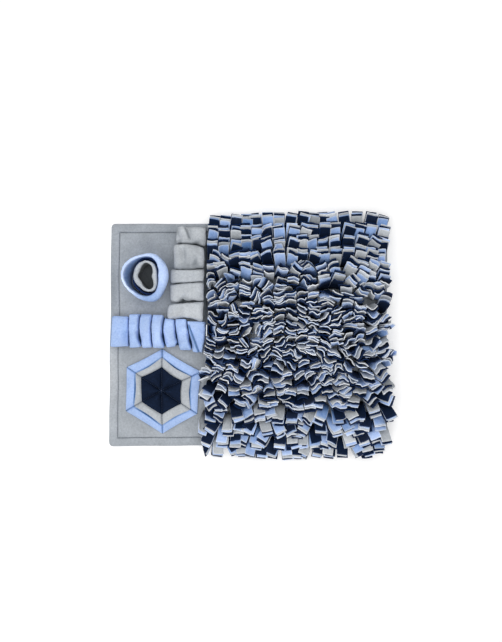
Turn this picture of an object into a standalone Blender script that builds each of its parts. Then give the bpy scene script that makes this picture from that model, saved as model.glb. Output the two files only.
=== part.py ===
"""A snuffle mat: a hemmed fleece mat that carries a field of fleece strips, two rows of sewn loops, a nest of
three soft cups and a six-petal pocket flower.

Lengths are in metres, +Z is up and +X runs from the pockets to the strips. The origin is the centre of the
mat's underside, and the mat lies flat on Z = 0. Every piece of cloth is one closed solid.
"""

import math
import random

import bmesh
import bpy
from mathutils import Vector, noise

MM = 0.001
GAP = 0.3 * MM  # clearance between pieces that touch

# The mat
MAT_WIDTH = 482 * MM
MAT_DEPTH = 388 * MM
MAT_THICKNESS = 4.6 * MM
CORNER_RADIUS = 7 * MM
EDGE_WAVE = 1.6 * MM  # how far the cut edge wanders
LEFT_FLARE = 3.5 * MM  # the left edge runs out towards the lower corner
HEM_WIDTH = 15 * MM
HEM_GROOVE = 0.9 * MM  # depth of the row of stitches
REST_Z = MAT_THICKNESS + GAP  # where everything on the mat sits

# The cloth
SHEET = 2.4 * MM  # one fleece sheet

# Nested cups: one row for each wall angle, in degrees from +X. Radii are to the middle of the wall.
OUTER_CUP_SHAPE = (  # (angle, radius at the foot, radius at the rim), mm
    (0, 31.5, 31.2),
    (30, 36.0, 34.2),
    (60, 37.2, 37.6),
    (90, 34.2, 34.4),
    (120, 32.5, 32.6),
    (150, 32.3, 32.8),
    (180, 32.0, 32.2),
    (210, 30.5, 30.6),
    (240, 29.5, 29.2),
    (270, 34.5, 34.6),
    (300, 38.3, 38.7),
    (330, 34.0, 34.2),
)
MIDDLE_CUP_SHAPE = (
    (0, 21.0, 21.0),
    (30, 22.7, 22.7),
    (60, 27.6, 27.6),
    (90, 29.6, 29.8),
    (120, 26.6, 27.0),
    (150, 23.4, 24.0),
    (180, 22.0, 23.0),
    (210, 21.2, 22.0),
    (240, 22.0, 22.4),
    (270, 26.9, 26.9),
    (300, 29.2, 29.2),
    (330, 23.0, 23.0),
)
INNER_CUP_SHAPE = (
    (0, 15.4, 15.3),
    (30, 17.1, 17.0),
    (60, 22.1, 22.0),
    (90, 24.1, 24.0),
    (120, 21.1, 21.2),
    (150, 17.8, 18.2),
    (180, 16.4, 17.0),
    (210, 15.8, 16.2),
    (240, 16.5, 16.6),
    (270, 21.2, 21.3),
    (300, 23.6, 23.5),
    (330, 17.4, 17.3),
)
CUPS = (  # (name, shape, centre x mm, centre y mm, height mm, wall mm, material)
    ("cup_outer", OUTER_CUP_SHAPE, -177.5, 98.5, 50.0, 5.6, "light_blue"),
    ("cup_middle", MIDDLE_CUP_SHAPE, -172.5, 98.5, 37.0, 3.0, "navy"),
    ("cup_inner", INNER_CUP_SHAPE, -172.5, 98.5, 43.0, 7.0, "light_grey"),
)
CUP_STEPS = 30  # round each cup

# Loops: a strip sewn down on lines across it. Each line has (run position at one edge, middle, other edge).
# Each loop has (outer edge, inner edge, height) across the strip, all mm.
GREY_LINES = (
    (188.0, 188.5, 187.0),
    (158.0, 158.0, 154.5),
    (115.0, 115.0, 115.5),
    (88.5, 90.0, 91.5),
    (54.5, 56.0, 57.5),
    (31.5, 33.0, 28.0),
)
GREY_LOOPS = (
    (-123.5, -75.0, 21.0),
    (-128.0, -76.5, 25.0),
    (-132.5, -77.0, 18.0),
    (-133.5, -77.5, 21.0),
    (-138.0, -79.5, 20.0),
)
BLUE_LINES = (
    (-239.0, -239.5, -240.5),
    (-209.0, -209.0, -209.0),
    (-189.0, -191.8, -187.4),
    (-168.5, -171.0, -170.0),
    (-147.8, -150.3, -146.3),
    (-128.0, -127.3, -123.0),
    (-108.2, -103.3, -101.0),
    (-81.0, -81.5, -84.5),
)
BLUE_LOOPS = (
    (31.5, -19.5, 15.0),
    (34.8, -21.0, 22.0),
    (34.8, -21.0, 20.0),
    (33.0, -21.0, 23.0),
    (26.0, -20.0, 21.0),
    (24.5, -24.3, 20.0),
    (20.5, -27.0, 19.0),
)
LOOP_PROFILE = (  # (share of the run, share of the height) along one loop
    (0.0, 0.0),
    (-0.03, 0.30),
    (-0.01, 0.62),
    (0.10, 0.88),
    (0.28, 0.98),
    (0.50, 1.0),
    (0.72, 0.98),
    (0.90, 0.88),
    (1.01, 0.62),
    (1.03, 0.30),
    (1.0, 0.0),
)
SEAM_FLAT = 5.4 * MM  # cloth that lies flat between two loops
ACROSS = 6  # cells across a strip

# Pocket flower: three six-sided sheets sewn down along shared seams
FLOWER_CENTRE = Vector((-152.4 * MM, -96.7 * MM, 0))
SEAM_ANGLES = (90, 148, 210, 270, 326, 385)  # degrees, from +X
FLOWER_LAYERS = (  # (name, radius at each seam mm, how far each edge bows in mm, material)
    ("flower_large", (71.8, 70.8, 71.6, 75.4, 73.1, 73.9), 1.2, "light_blue"),
    ("flower_medium", (56.9, 54.0, 55.0, 60.2, 60.1, 56.3), 3.4, "light_grey"),
    ("flower_small", (40.5, 42.2, 39.4, 41.6, 40.7, 39.1), 2.6, "navy"),
)
PETAL_LIFT = 1.5 * MM  # each layer's petals stand this much prouder than the last
PETAL_STEPS = 5
RADIAL_SHARES = (0.0, 0.30, 0.62, 1.0)
LIFT_FROM = 12 * MM  # the petals have their full lift from this radius on

# Field of strips
STRIP_WIDTH = 19.5 * MM
COLUMNS = 16
LAYERS = 23
FIELD_RIGHT = 236 * MM
FIELD_HALF_DEPTH = 188.5 * MM
FIELD_LEFT = ((-189, -79.0), (-40, -79.0), (-22, -74.5), (40, -72.0), (189, -72.0))  # (y, x) mm
PILE_TOP = 46 * MM
CELL_JOIN = 0.5 * MM  # half the width of the step between two strips
LUMP = 4.5 * MM
TILT = 4.0 * MM
SWAY = 5.0 * MM
LOCK_MARGIN = 0.9 * MM
SIDE_LOW = {"top": 16, "bottom": 16, "right": 24, "left": 33}  # height of the field at its rim, mm
SIDE_REACH = {"top": 55, "bottom": 55, "right": 34, "left": 14}  # how far in the rim's slope runs, mm
# Locks: steps outward as (distance mm, height of the lower face mm, thickness mm), and the tip last
FLOOR_LOCK = ((7.8, 5.4, 4.0), (12.8, 0.0, 3.6), (None, 0.0, 3.2))
FLYING_LOCK = ((7.8, 10.6, 3.8), (13.2, 5.2, 3.4), (None, 4.6, 3.0))
SIDE_LOCK = ((4.0, 21.0, 4.0), (None, 18.0, 3.2))
TIP_LEAST = 15.6  # a lock over the mat's edge is at least this long, mm
REACH = {  # length of the longest locks along each side: (x or y, length), mm
    "top": ((-72, 17), (2, 20), (54, 24), (124, 25), (159, 29), (194, 29), (236, 23)),
    "bottom": ((-79, 20), (-42, 27), (2, 23), (54, 31), (72, 33), (107, 23), (160, 26), (194, 31), (236, 22)),
    "right": ((-189, 16), (-100, 17), (0, 19), (60, 17), (100, 20), (189, 16)),
    "left": ((-189, 10), (-60, 8)),
}
SEED = 11

COLOURS = {  # linear base colour and roughness
    "mat_grey": ((0.36, 0.39, 0.43), 0.95),
    "light_grey": ((0.53, 0.56, 0.60), 0.95),
    "light_blue": ((0.42, 0.57, 0.88), 0.95),
    "navy": ((0.010, 0.017, 0.042), 0.95),
}


def clear_scene():
    for thing in list(bpy.data.objects):
        bpy.data.objects.remove(thing, do_unlink=True)


def cloth(name):
    """The fleece of one colour."""
    if name in bpy.data.materials:
        return bpy.data.materials[name]
    colour, roughness = COLOURS[name]
    made = bpy.data.materials.new(name)
    made.use_nodes = True
    shader = made.node_tree.nodes["Principled BSDF"]
    shader.inputs["Base Color"].default_value = (*colour, 1)
    shader.inputs["Roughness"].default_value = roughness
    shader.inputs["Metallic"].default_value = 0
    return made


def add_object(name, shape, *cloths):
    """Turns a bmesh into a named object with its materials."""
    mesh = bpy.data.meshes.new(name)
    shape.to_mesh(mesh)
    shape.free()
    for each in cloths:
        mesh.materials.append(cloth(each))
    mesh.shade_smooth()
    mesh.set_sharp_from_angle(angle=math.radians(40))
    thing = bpy.data.objects.new(name, mesh)
    bpy.context.scene.collection.objects.link(thing)
    return thing


def skin(shape, rings, closed):
    """Joins rings of points with quads, and the last ring to the first if closed."""
    rows = [[shape.verts.new(point) for point in ring] for ring in rings]
    count = len(rows[0])
    pairs = zip(rows, rows[1:] + rows[:1]) if closed else zip(rows, rows[1:])
    for low, high in pairs:
        for i in range(count):
            j = (i + 1) % count
            shape.faces.new((low[i], low[j], high[j], high[i]))
    return rows


def eased(share):
    share = min(max(share, 0.0), 1.0)
    return share * share * (3 - 2 * share)


def between(table, at):
    """Straight-line reading of a table of (position, value) rows."""
    if at <= table[0][0]:
        return table[0][1]
    for (x0, y0), (x1, y1) in zip(table, table[1:]):
        if at <= x1:
            return y0 + (y1 - y0) * (at - x0) / (x1 - x0)
    return table[-1][1]


def round_table(shape, angle):
    """Smooth reading of a cup's table at an angle: (radius at the foot, radius at the rim), in metres."""
    count = len(shape)
    place = angle / (360 / count)
    i = int(math.floor(place)) % count
    share = place - math.floor(place)
    found = []
    for column in (1, 2):
        a, b, c, d = (shape[(i + k) % count][column] for k in (-1, 0, 1, 2))
        slope = (c - a + (2 * a - 5 * b + 4 * c - d + (3 * (b - c) + d - a) * share) * share) * share
        found.append((b + slope / 2) * MM)
    return found


# ---- the mat -----------------------------------------------------------------------------------------------


def mat_outline(inset):
    """Points round the mat, this far inside its edge, anticlockwise from above."""
    half_x, half_y = MAT_WIDTH / 2 - inset, MAT_DEPTH / 2 - inset
    radius = max(CORNER_RADIUS - inset * 0.5, 1.5 * MM)
    points = []
    for corner in range(4):
        start = math.pi / 2 * corner
        sx = 1 if corner in (0, 3) else -1
        sy = 1 if corner in (0, 1) else -1
        centre = Vector((sx * (half_x - radius), sy * (half_y - radius), 0))
        for step in range(4):
            angle = start + math.pi / 2 * step / 3
            points.append(centre + radius * Vector((math.cos(angle), math.sin(angle), 0)))
        after = (corner + 1) % 4
        nx = 1 if after in (0, 3) else -1
        ny = 1 if after in (0, 1) else -1
        turned = start + math.pi / 2
        first = points[-1]
        last = Vector((nx * (half_x - radius), ny * (half_y - radius), 0))
        last += radius * Vector((math.cos(turned), math.sin(turned), 0))
        pieces = 9 if corner in (0, 2) else 8
        points += [first.lerp(last, k / pieces) for k in range(1, pieces)]
    for point in points:
        wander = noise.noise_vector(Vector((point.x * 14, point.y * 14, 3.0)))
        point.x += EDGE_WAVE * wander.x
        point.y += EDGE_WAVE * wander.y
        if point.x < 0:
            low = eased(0.35 - point.y / MAT_DEPTH)
            point.x -= LEFT_FLARE * low * eased(-2.2 * point.x / MAT_WIDTH)
    return points


def build_mat():
    top = MAT_THICKNESS
    profile = (  # (inset, height) from the underside round the edge to the field
        (2.0 * MM, 0.0),
        (0.4 * MM, 0.9 * MM),
        (0.0, 2.2 * MM),
        (0.8 * MM, 3.7 * MM),
        (3.0 * MM, top),
        (HEM_WIDTH - 1.3 * MM, top),
        (HEM_WIDTH, top - HEM_GROOVE),
        (HEM_WIDTH + 1.3 * MM, top),
    )
    shape = bmesh.new()
    rings = [[Vector((p.x, p.y, z)) for p in mat_outline(inset)] for inset, z in profile]
    rows = skin(shape, rings, closed=False)
    shape.faces.new(list(reversed(rows[0])))
    shape.faces.new(rows[-1])
    add_object("mat", shape, "mat_grey")


# ---- the cups ----------------------------------------------------------------------------------------------


def build_cup(name, form, x, y, height, wall, colour):
    """A soft tube: its wall bellies a little and its rim is a rolled fold."""
    half = wall * MM / 2
    top = REST_Z + height * MM
    centre = Vector((x * MM, y * MM, 0))
    section = (  # (outward offset, share of the height, drop below the top)
        (half * 0.8, 0.0, 0.0),
        (half, 0.35, 0.0),
        (half, 0.75, 0.0),
        (half * 1.05, 1.0, half * 0.9),
        (half * 0.6, 1.0, half * 0.2),
        (-half * 0.6, 1.0, half * 0.2),
        (-half * 1.05, 1.0, half * 0.9),
        (-half, 0.75, 0.0),
        (-half, 0.35, 0.0),
        (-half * 0.8, 0.0, 0.0),
    )
    rings = []
    for step in range(CUP_STEPS):
        angle = 360 * step / CUP_STEPS
        out = Vector((math.cos(math.radians(angle)), math.sin(math.radians(angle)), 0))
        foot, rim = round_table(form, angle)
        sway = 1.2 * MM * math.sin(math.radians(2 * angle + 40))  # the rim rises and falls
        ring = []
        for offset, share, drop in section:
            radius = foot + (rim - foot) * share**1.6 + offset
            z = REST_Z + (top - REST_Z + sway) * share - drop
            ring.append(centre + out * radius + Vector((0, 0, z)))
        rings.append(ring)
    shape = bmesh.new()
    skin(shape, rings, closed=True)
    bmesh.ops.recalc_face_normals(shape, faces=shape.faces)
    add_object(name, shape, colour)


# ---- the loops ---------------------------------------------------------------------------------------------


def bowed(ends, share):
    """A curve through three values at shares 0, 0.5 and 1."""
    first, middle, last = ends
    bow = middle - (first + last) / 2
    return (first + (last - first) * share + bow * 4 * share * (1 - share)) * MM


def strip_point(run, across, z, runs_along_x):
    return Vector((run, across, z)) if runs_along_x else Vector((across, run, z))


def build_loops(name, lines, loops, runs_along_x, colour):
    """One strip of cloth that rises in a loop between each two lines of stitches."""
    low = REST_Z + SHEET / 2
    rows = []
    sign = 1 if lines[-1][0] > lines[0][0] else -1
    first, last = loops[0], loops[-1]

    def row(line, offset, edges, z):
        points = []
        for k in range(ACROSS + 1):
            share = k / ACROSS
            across = (edges[0] + (edges[1] - edges[0]) * share) * MM
            points.append(strip_point(bowed(line, share) + sign * offset, across, z, runs_along_x))
        return points

    rows.append(row(lines[0], -SEAM_FLAT * 0.7, first, low))
    for i, (near, far, height) in enumerate(loops):
        start, end = lines[i], lines[i + 1]
        before, after = loops[max(i - 1, 0)], loops[min(i + 1, len(loops) - 1)]
        for run_share, rise in LOOP_PROFILE:
            # The sewn ends of a loop meet its neighbours' edges, and its crown has its own.
            beside = before if run_share < 0.5 else after
            blend = eased(rise * 1.4)
            edges = tuple((own * (1 + blend) + other * (1 - blend)) / 2
                          for own, other in zip((near, far), beside))
            points = []
            for k in range(ACROSS + 1):
                share = k / ACROSS
                a = bowed(start, share) + sign * SEAM_FLAT / 2
                b = bowed(end, share) - sign * SEAM_FLAT / 2
                run = a + (b - a) * run_share
                across = (edges[0] + (edges[1] - edges[0]) * share) * MM
                uneven = noise.noise(Vector((run * 30, across * 30, i * 2.7)))
                top = height * MM * rise * (1 + 0.16 * uneven * rise)
                points.append(strip_point(run, across, low + top, runs_along_x))
            rows.append(points)
    rows.append(row(lines[-1], SEAM_FLAT * 0.7, last, low))

    shape = bmesh.new()
    grid = [[shape.verts.new(point) for point in points] for points in rows]
    for here, there in zip(grid, grid[1:]):
        for k in range(ACROSS):
            shape.faces.new((here[k], here[k + 1], there[k + 1], there[k]))
    bmesh.ops.recalc_face_normals(shape, faces=shape.faces)
    thing = add_object(name, shape, colour)
    thick = thing.modifiers.new("Sheet", "SOLIDIFY")
    thick.thickness = SHEET
    thick.offset = 0
    thick.use_rim = True


# ---- the pocket flower -------------------------------------------------------------------------------------


def petal_edge(radii, bow, sector, share):
    """Radius of a layer's edge at a share of the way across one petal."""
    after = (sector + 1) % len(radii)
    start = math.radians(SEAM_ANGLES[sector])
    wide = math.radians((SEAM_ANGLES[after] - SEAM_ANGLES[sector]) % 360)
    a, b = radii[sector] * MM, radii[after] * MM
    turn = wide * share
    straight = a * b * math.sin(wide) / (a * math.sin(turn) + b * math.sin(wide - turn))
    return start + turn, straight - bow * MM * math.sin(math.pi * share)


def build_flower():
    for layer, (name, radii, bow, colour) in enumerate(FLOWER_LAYERS):
        seat = REST_Z + layer * (SHEET + GAP)
        shape = bmesh.new()
        columns = []  # (angle, edge radius, how far the cloth is lifted there)
        for sector in range(len(radii)):
            for step in range(PETAL_STEPS):
                share = step / PETAL_STEPS
                angle, edge = petal_edge(radii, bow, sector, share)
                columns.append((angle, edge, PETAL_LIFT * (layer + 1) * math.sin(math.pi * share)))
        sides = []
        for thickness in (0.0, SHEET):
            middle = shape.verts.new(FLOWER_CENTRE + Vector((0, 0, seat + thickness)))
            rings = []
            for share in RADIAL_SHARES:
                ring = []
                for angle, edge, lift in columns:
                    radius = LIFT_FROM + (edge - LIFT_FROM) * share
                    place = Vector((math.cos(angle) * radius, math.sin(angle) * radius, 0))
                    place.z = seat + thickness + lift
                    ring.append(shape.verts.new(FLOWER_CENTRE + place))
                rings.append(ring)
            count = len(columns)
            for i in range(count):
                j = (i + 1) % count
                shape.faces.new((middle, rings[0][i], rings[0][j]))
                for inner, outer in zip(rings, rings[1:]):
                    shape.faces.new((inner[i], outer[i], outer[j], inner[j]))
            sides.append(rings[-1])
        low, high = sides
        for i in range(len(columns)):
            j = (i + 1) % len(columns)
            shape.faces.new((low[i], low[j], high[j], high[i]))
        bmesh.ops.recalc_face_normals(shape, faces=shape.faces)
        add_object(name, shape, colour)


# ---- the field of strips -----------------------------------------------------------------------------------


def field_left(y):
    return between(FIELD_LEFT, y / MM) * MM


def pile_height(x, y):
    """Height of the strips' tips: full in the middle, lower where they lie down at the rim."""
    distances = {
        "top": FIELD_HALF_DEPTH - y,
        "bottom": FIELD_HALF_DEPTH + y,
        "right": FIELD_RIGHT - x,
        "left": x - field_left(y),
    }
    height = PILE_TOP
    for side, distance in distances.items():
        low = SIDE_LOW[side] * MM
        height = min(height, low + (PILE_TOP - low) * eased(distance / MM / SIDE_REACH[side]))
    return height


def cell_lines(count):
    """Shares along a side: two lines close together at each border between strips."""
    shares = [0.0]
    for i in range(1, count):
        shares += [(i, -1), (i, 1)]
    return shares + [float(count)]


def line_place(line, length, count):
    """Distance along a side of one of the lines above."""
    if isinstance(line, tuple):
        i, side = line
        return length * i / count + side * CELL_JOIN
    return length * line / count


def build_field():
    """A lumpy slab with a facet for each strip that shows, and locks that grow from its rim."""
    chance = random.Random(SEED)
    cells = {}  # (column, layer): (how high it stands, tilt in x, tilt in y, cloth)
    for i in range(COLUMNS):
        for j in range(LAYERS):
            tilts = chance.uniform(-TILT, TILT), chance.uniform(-TILT, TILT)
            cells[i, j] = (chance.uniform(-LUMP, LUMP), *tilts, chance.randrange(3))
    across, deep = cell_lines(COLUMNS), cell_lines(LAYERS)
    shape = bmesh.new()
    grid = []
    for b, deep_line in enumerate(deep):
        y = -FIELD_HALF_DEPTH + line_place(deep_line, 2 * FIELD_HALF_DEPTH, LAYERS)
        j = b // 2
        row = []
        for a, across_line in enumerate(across):
            left = field_left(y)
            x = left + line_place(across_line, FIELD_RIGHT - left, COLUMNS)
            i = a // 2
            lump, tilt_x, tilt_y, _ = cells[i, j]
            on_rim = a in (0, len(across) - 1) or b in (0, len(deep) - 1)
            sway = noise.noise_vector(Vector((x * 22, y * 22, 7.0))) * (0 if on_rim else SWAY)
            rise = lump + (1 if a % 2 else -1) * tilt_x / 2 + (1 if b % 2 else -1) * tilt_y / 2
            if on_rim:
                rise *= 0.25
            z = pile_height(x, y) + rise
            row.append(shape.verts.new((x + sway.x, y + sway.y, z)))
        grid.append(row)
    for b, (near, far) in enumerate(zip(grid, grid[1:])):
        for a in range(len(across) - 1):
            face = shape.faces.new((near[a], near[a + 1], far[a + 1], far[a]))
            face.material_index = cells[a // 2, b // 2][3]
    add_rim(shape, grid, chance)
    bmesh.ops.recalc_face_normals(shape, faces=shape.faces)
    add_object("strip_field", shape, "light_blue", "light_grey", "navy")


def rim_sides(grid):
    """The border of the grid, anticlockwise, as (side, vertices from corner to corner)."""
    return (
        ("bottom", grid[0]),
        ("right", [row[-1] for row in grid]),
        ("top", list(reversed(grid[-1]))),
        ("left", [row[0] for row in reversed(grid)]),
    )


def add_rim(shape, grid, chance):
    """The slab's side walls in two tiers, its underside, and a lock from each wide wall face."""
    outward = {"top": (0, 1), "bottom": (0, -1), "right": (1, 0), "left": (-1, 0)}
    mid_of, low_of = {}, {}

    def below(vert):
        if vert not in mid_of:
            split = REST_Z + (vert.co.z - REST_Z) * 0.5
            mid_of[vert] = shape.verts.new((vert.co.x, vert.co.y, split))
            low_of[vert] = shape.verts.new((vert.co.x, vert.co.y, REST_Z))
        return mid_of[vert], low_of[vert]

    underside = []
    for side, border in rim_sides(grid):
        out = Vector((*outward[side], 0))
        for k, (here, there) in enumerate(zip(border, border[1:])):
            mid_here, low_here = below(here)
            mid_there, low_there = below(there)
            underside.append(low_here)
            upper = shape.faces.new((mid_here, mid_there, there, here))
            lower = shape.faces.new((low_here, low_there, mid_there, mid_here))
            if k % 2:
                continue  # the narrow face between two strips
            along = here.co.x if side in ("top", "bottom") else here.co.y
            reach = between(REACH[side], along / MM) * chance.uniform(0.88, 1.0)
            if side == "left":
                if along < -60 * MM:
                    grow_lock(shape, upper, out, reach, SIDE_LOCK, chance)
                continue
            grow_lock(shape, lower, out, max(reach, TIP_LEAST), FLOOR_LOCK, chance)
            shorter = reach * chance.uniform(0.72, 0.9)
            grow_lock(shape, upper, out, max(shorter, TIP_LEAST), FLYING_LOCK, chance)
    shape.faces.new(list(reversed(underside)))


def grow_lock(shape, root, out, reach, steps, chance):
    """Extrudes one wall face into a lock that bends outward and down, to a tip at this reach in mm."""
    root.material_index = chance.randrange(3)
    bmesh.ops.inset_individual(shape, faces=[root], thickness=LOCK_MARGIN, use_even_offset=True)
    start = root.calc_center_median()
    sideways = Vector((-out.y, out.x, 0)) * chance.uniform(-1.1, 1.1)
    tip = root
    for distance, low, thickness in steps:
        distance = distance or reach
        grown = bmesh.ops.extrude_discrete_faces(shape, faces=[tip])
        tip = grown["faces"][0]
        heights = sorted(vert.co.z for vert in tip.verts)
        middle = (heights[1] + heights[2]) / 2
        for vert in tip.verts:
            back = (start - vert.co).dot(out)
            vert.co += out * (distance * MM + back) + sideways * (distance / reach) * MM / len(steps)
            vert.co.z = low * MM + (thickness * MM if vert.co.z > middle else 0.0)


def main():
    clear_scene()
    build_mat()
    for cup in CUPS:
        build_cup(*cup)
    build_loops("grey_loops", GREY_LINES, GREY_LOOPS, False, "light_grey")
    build_loops("blue_loops", BLUE_LINES, BLUE_LOOPS, True, "light_blue")
    build_flower()
    build_field()


main()
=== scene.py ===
# %% [markdown]
# # A fleece snuffle mat
#
# A snuffle mat is a sewn puzzle for a dog's nose. Dry food is hidden in its strips, loops, pockets and cups.
# This one is all fleece: a hemmed mat, a nest of three soft cups, two strips sewn down in loops, a layered
# pocket flower, and a dense field of strips. Sewn cloth is thin and uneven, so each piece here is a sheet with
# its own small folds, and no piece is a plain block.
#
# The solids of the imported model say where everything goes. Each is replaced by a finer piece in the same place.

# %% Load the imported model
import math

import bmesh
import bpy
import numpy as np
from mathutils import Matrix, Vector, noise


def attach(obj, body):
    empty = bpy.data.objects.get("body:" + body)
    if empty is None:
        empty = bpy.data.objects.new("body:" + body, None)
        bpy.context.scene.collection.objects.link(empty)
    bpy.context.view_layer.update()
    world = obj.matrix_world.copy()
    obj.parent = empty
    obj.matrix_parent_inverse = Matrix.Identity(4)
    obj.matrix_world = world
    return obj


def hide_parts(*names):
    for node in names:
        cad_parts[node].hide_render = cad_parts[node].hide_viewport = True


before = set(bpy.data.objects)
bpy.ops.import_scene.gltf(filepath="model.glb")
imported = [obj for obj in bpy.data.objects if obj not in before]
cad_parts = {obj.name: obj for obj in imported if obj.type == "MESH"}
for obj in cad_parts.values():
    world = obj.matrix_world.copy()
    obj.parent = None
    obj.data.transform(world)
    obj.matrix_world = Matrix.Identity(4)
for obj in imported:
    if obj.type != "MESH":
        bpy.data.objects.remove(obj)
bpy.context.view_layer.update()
MM = 0.001

# %% [markdown]
# ## Small helpers
#
# Shader colours are linear, while a colour given as a hex value is sRGB, so one function turns the one into the
# other.
# One more adds a node, sets it up and links it. A third turns points and faces into a mesh, with a UV map in
# metres, so that a pattern can follow the cloth, and with values that its material reads. The rest are the
# curves, humps and noise that every piece of cloth below is shaped with.


# %% Helpers for nodes and scene
def linear(hex_colour):
    """An sRGB hex colour as linear RGBA."""
    values = [int(hex_colour[i : i + 2], 16) / 255 for i in (1, 3, 5)]
    return (*[v / 12.92 if v <= 0.04045 else ((v + 0.055) / 1.055) ** 2.4 for v in values], 1.0)


def add_node(tree, kind, settings=None, inputs=None):
    """Adds a node, sets its properties, and sets or links its inputs, by name or number."""
    node = tree.nodes.new(kind)
    for name, value in (settings or {}).items():
        setattr(node, name, value)
    for name, value in (inputs or {}).items():
        if isinstance(value, bpy.types.NodeSocket):
            tree.links.new(value, node.inputs[name])
        else:
            node.inputs[name].default_value = value
    return node


def new_material(name):
    """A node material: itself, its tree and its Principled shader."""
    material = bpy.data.materials.new(name)
    material.use_nodes = True
    return material, material.node_tree, material.node_tree.nodes["Principled BSDF"]


def geometry_tree(name, inputs, output):
    """A Geometry Nodes group with these inputs, each (name, kind, starting value), and one output of geometry."""
    tree = bpy.data.node_groups.new(name, "GeometryNodeTree")
    for label, kind, value in inputs:
        socket = tree.interface.new_socket(label, in_out="INPUT", socket_type="NodeSocket" + kind)
        if value is not None:
            socket.default_value = value
    tree.interface.new_socket(output, in_out="OUTPUT", socket_type="NodeSocketGeometry")
    return tree, add_node(tree, "NodeGroupInput").outputs


def put_in_scene(name, data):
    thing = bpy.data.objects.new(name, data)
    bpy.context.scene.collection.objects.link(thing)
    return thing


print("blue as linear light:", [round(v, 3) for v in linear("#adc7f4")])


# %% Helpers for meshes
def grid_faces(rows, columns, wrap_rows=False, wrap_columns=False):
    """Quads of a grid whose points are stored row by row."""
    r = np.arange(rows if wrap_rows else rows - 1)
    c = np.arange(columns if wrap_columns else columns - 1)
    r, c = (a.ravel() for a in np.meshgrid(r, c, indexing="ij"))
    next_r, next_c = (r + 1) % rows, (c + 1) % columns
    return np.stack((r * columns + c, r * columns + next_c, next_r * columns + next_c, next_r * columns + c), 1)


def mesh_of(name, points, faces, uv=None, values=None):
    """A mesh object from its points and faces, with a UV map and float attributes for its points."""
    mesh = bpy.data.meshes.new(name)
    points = np.asarray(points, float).reshape(-1, 3)
    mesh.from_pydata(points.tolist(), [], [[int(corner) for corner in face] for face in faces])
    if uv is not None:
        layer = mesh.uv_layers.new(name="cloth")
        corner = np.empty(len(mesh.loops), np.int32)
        mesh.loops.foreach_get("vertex_index", corner)
        layer.data.foreach_set("uv", np.asarray(uv, np.float32).reshape(-1, 2)[corner].ravel())
    for key, data in (values or {}).items():
        held = mesh.attributes.new(key, "FLOAT", "POINT")
        held.data.foreach_set("value", np.asarray(data, np.float32).ravel())
    mesh.shade_smooth()
    return put_in_scene(name, mesh)


def finish_mesh(thing):
    """Applies every modifier by swapping in the evaluated mesh."""
    graph = bpy.context.evaluated_depsgraph_get()
    made = bpy.data.meshes.new_from_object(thing.evaluated_get(graph))
    thing.modifiers.clear()
    thing.data = made
    return thing


def grow(thing, tree, settings):
    """Runs a Geometry Nodes group on an object, and keeps what it makes as a plain mesh."""
    modifier = thing.modifiers.new("Nodes", "NODES")
    modifier.node_group = tree
    sockets = {item.name: item.identifier for item in tree.interface.items_tree if item.in_out == "INPUT"}
    for name, value in settings.items():
        modifier[sockets[name]] = value
    return finish_mesh(thing)


def add_thickness(thing, thickness, offset=0.0):
    """Makes a closed sheet of a surface. Even offset is off, because it throws spikes out of tight folds."""
    solid = thing.modifiers.new("Thickness", "SOLIDIFY")
    solid.thickness = thickness
    solid.offset = offset
    solid.use_rim = True
    solid.use_even_offset = False
    return finish_mesh(thing)


def fix_normals(thing, merge=0.0):
    """Turns every face of a closed mesh outwards, after points nearer than merge are made one."""
    shape = bmesh.new()
    shape.from_mesh(thing.data)
    if merge:
        bmesh.ops.remove_doubles(shape, verts=shape.verts, dist=merge)
    bmesh.ops.recalc_face_normals(shape, faces=shape.faces)
    shape.to_mesh(thing.data)
    shape.free()


def triangles(thing):
    thing.data.calc_loop_triangles()
    return len(thing.data.loop_triangles)


print("faces of a 3 by 3 grid:", len(grid_faces(3, 3)), "and of a closed one:", len(grid_faces(3, 3, True, True)))


# %% Helpers for curves and noise
def bump_at(value, centre, width):
    """A smooth hump, 1 at the centre, that fades over this width."""
    return np.exp(-(((value - centre) / width) ** 2))


def patches_at(patches, x, y):
    """Sum of soft lighter or darker patches, painted light and shade among them: (x, y, reach in x, reach in y,
    amount).
    """
    return sum(amount * np.exp(-(((x - cx) / rx) ** 2) - ((y - cy) / ry) ** 2) for cx, cy, rx, ry, amount in patches)


def eased(share):
    """Goes from 0 to 1 as the share does, and starts and ends gently."""
    share = np.clip(share, 0.0, 1.0)
    return share * share * (3 - 2 * share)


def catmull_rom(a, b, c, d, t):
    """A smooth curve from b to c, which a and d help to steer."""
    return b + 0.5 * t * (c - a + (2 * a - 5 * b + 4 * c - d + (3 * (b - c) + d - a) * t) * t)


def table_at(table, at):
    """Straight-line reading of a table of (place, value)."""
    rows = np.array(table, float)
    return np.interp(at, rows[:, 0], rows[:, 1])


def bumpy(points, size, seed=0.0):
    """Smooth noise from -1 to 1 at each point, with bumps of about this size in metres."""
    points = np.asarray(points, float)
    shift = Vector((seed, seed * 1.7, 0))
    values = [noise.noise(Vector(point / size) + shift) for point in points.reshape(-1, 3)]
    return np.array(values).reshape(points.shape[:-1])


print("a hump 0, 1 and 2 widths from its middle:", [round(float(bump_at(v, 0, 1)), 3) for v in (0, 1, 2)])

# %% [markdown]
# ## Camera
#
# The mat is seen from straight above. The cups show their inner left walls and outer right walls, so the camera
# is close enough for perspective: about a metre above the mat. Its width of view there sets the focal length.

# %% Camera
VIEW_CENTRE = (3.5 * MM, 24.0 * MM)
CAMERA_HEIGHT = 1.0
SENSOR = 36.0
VIEW_WIDTH = 502 * 1.75 * MM  # what the view spans at the mat's height: 1.75 mm for each of 502 columns

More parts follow.
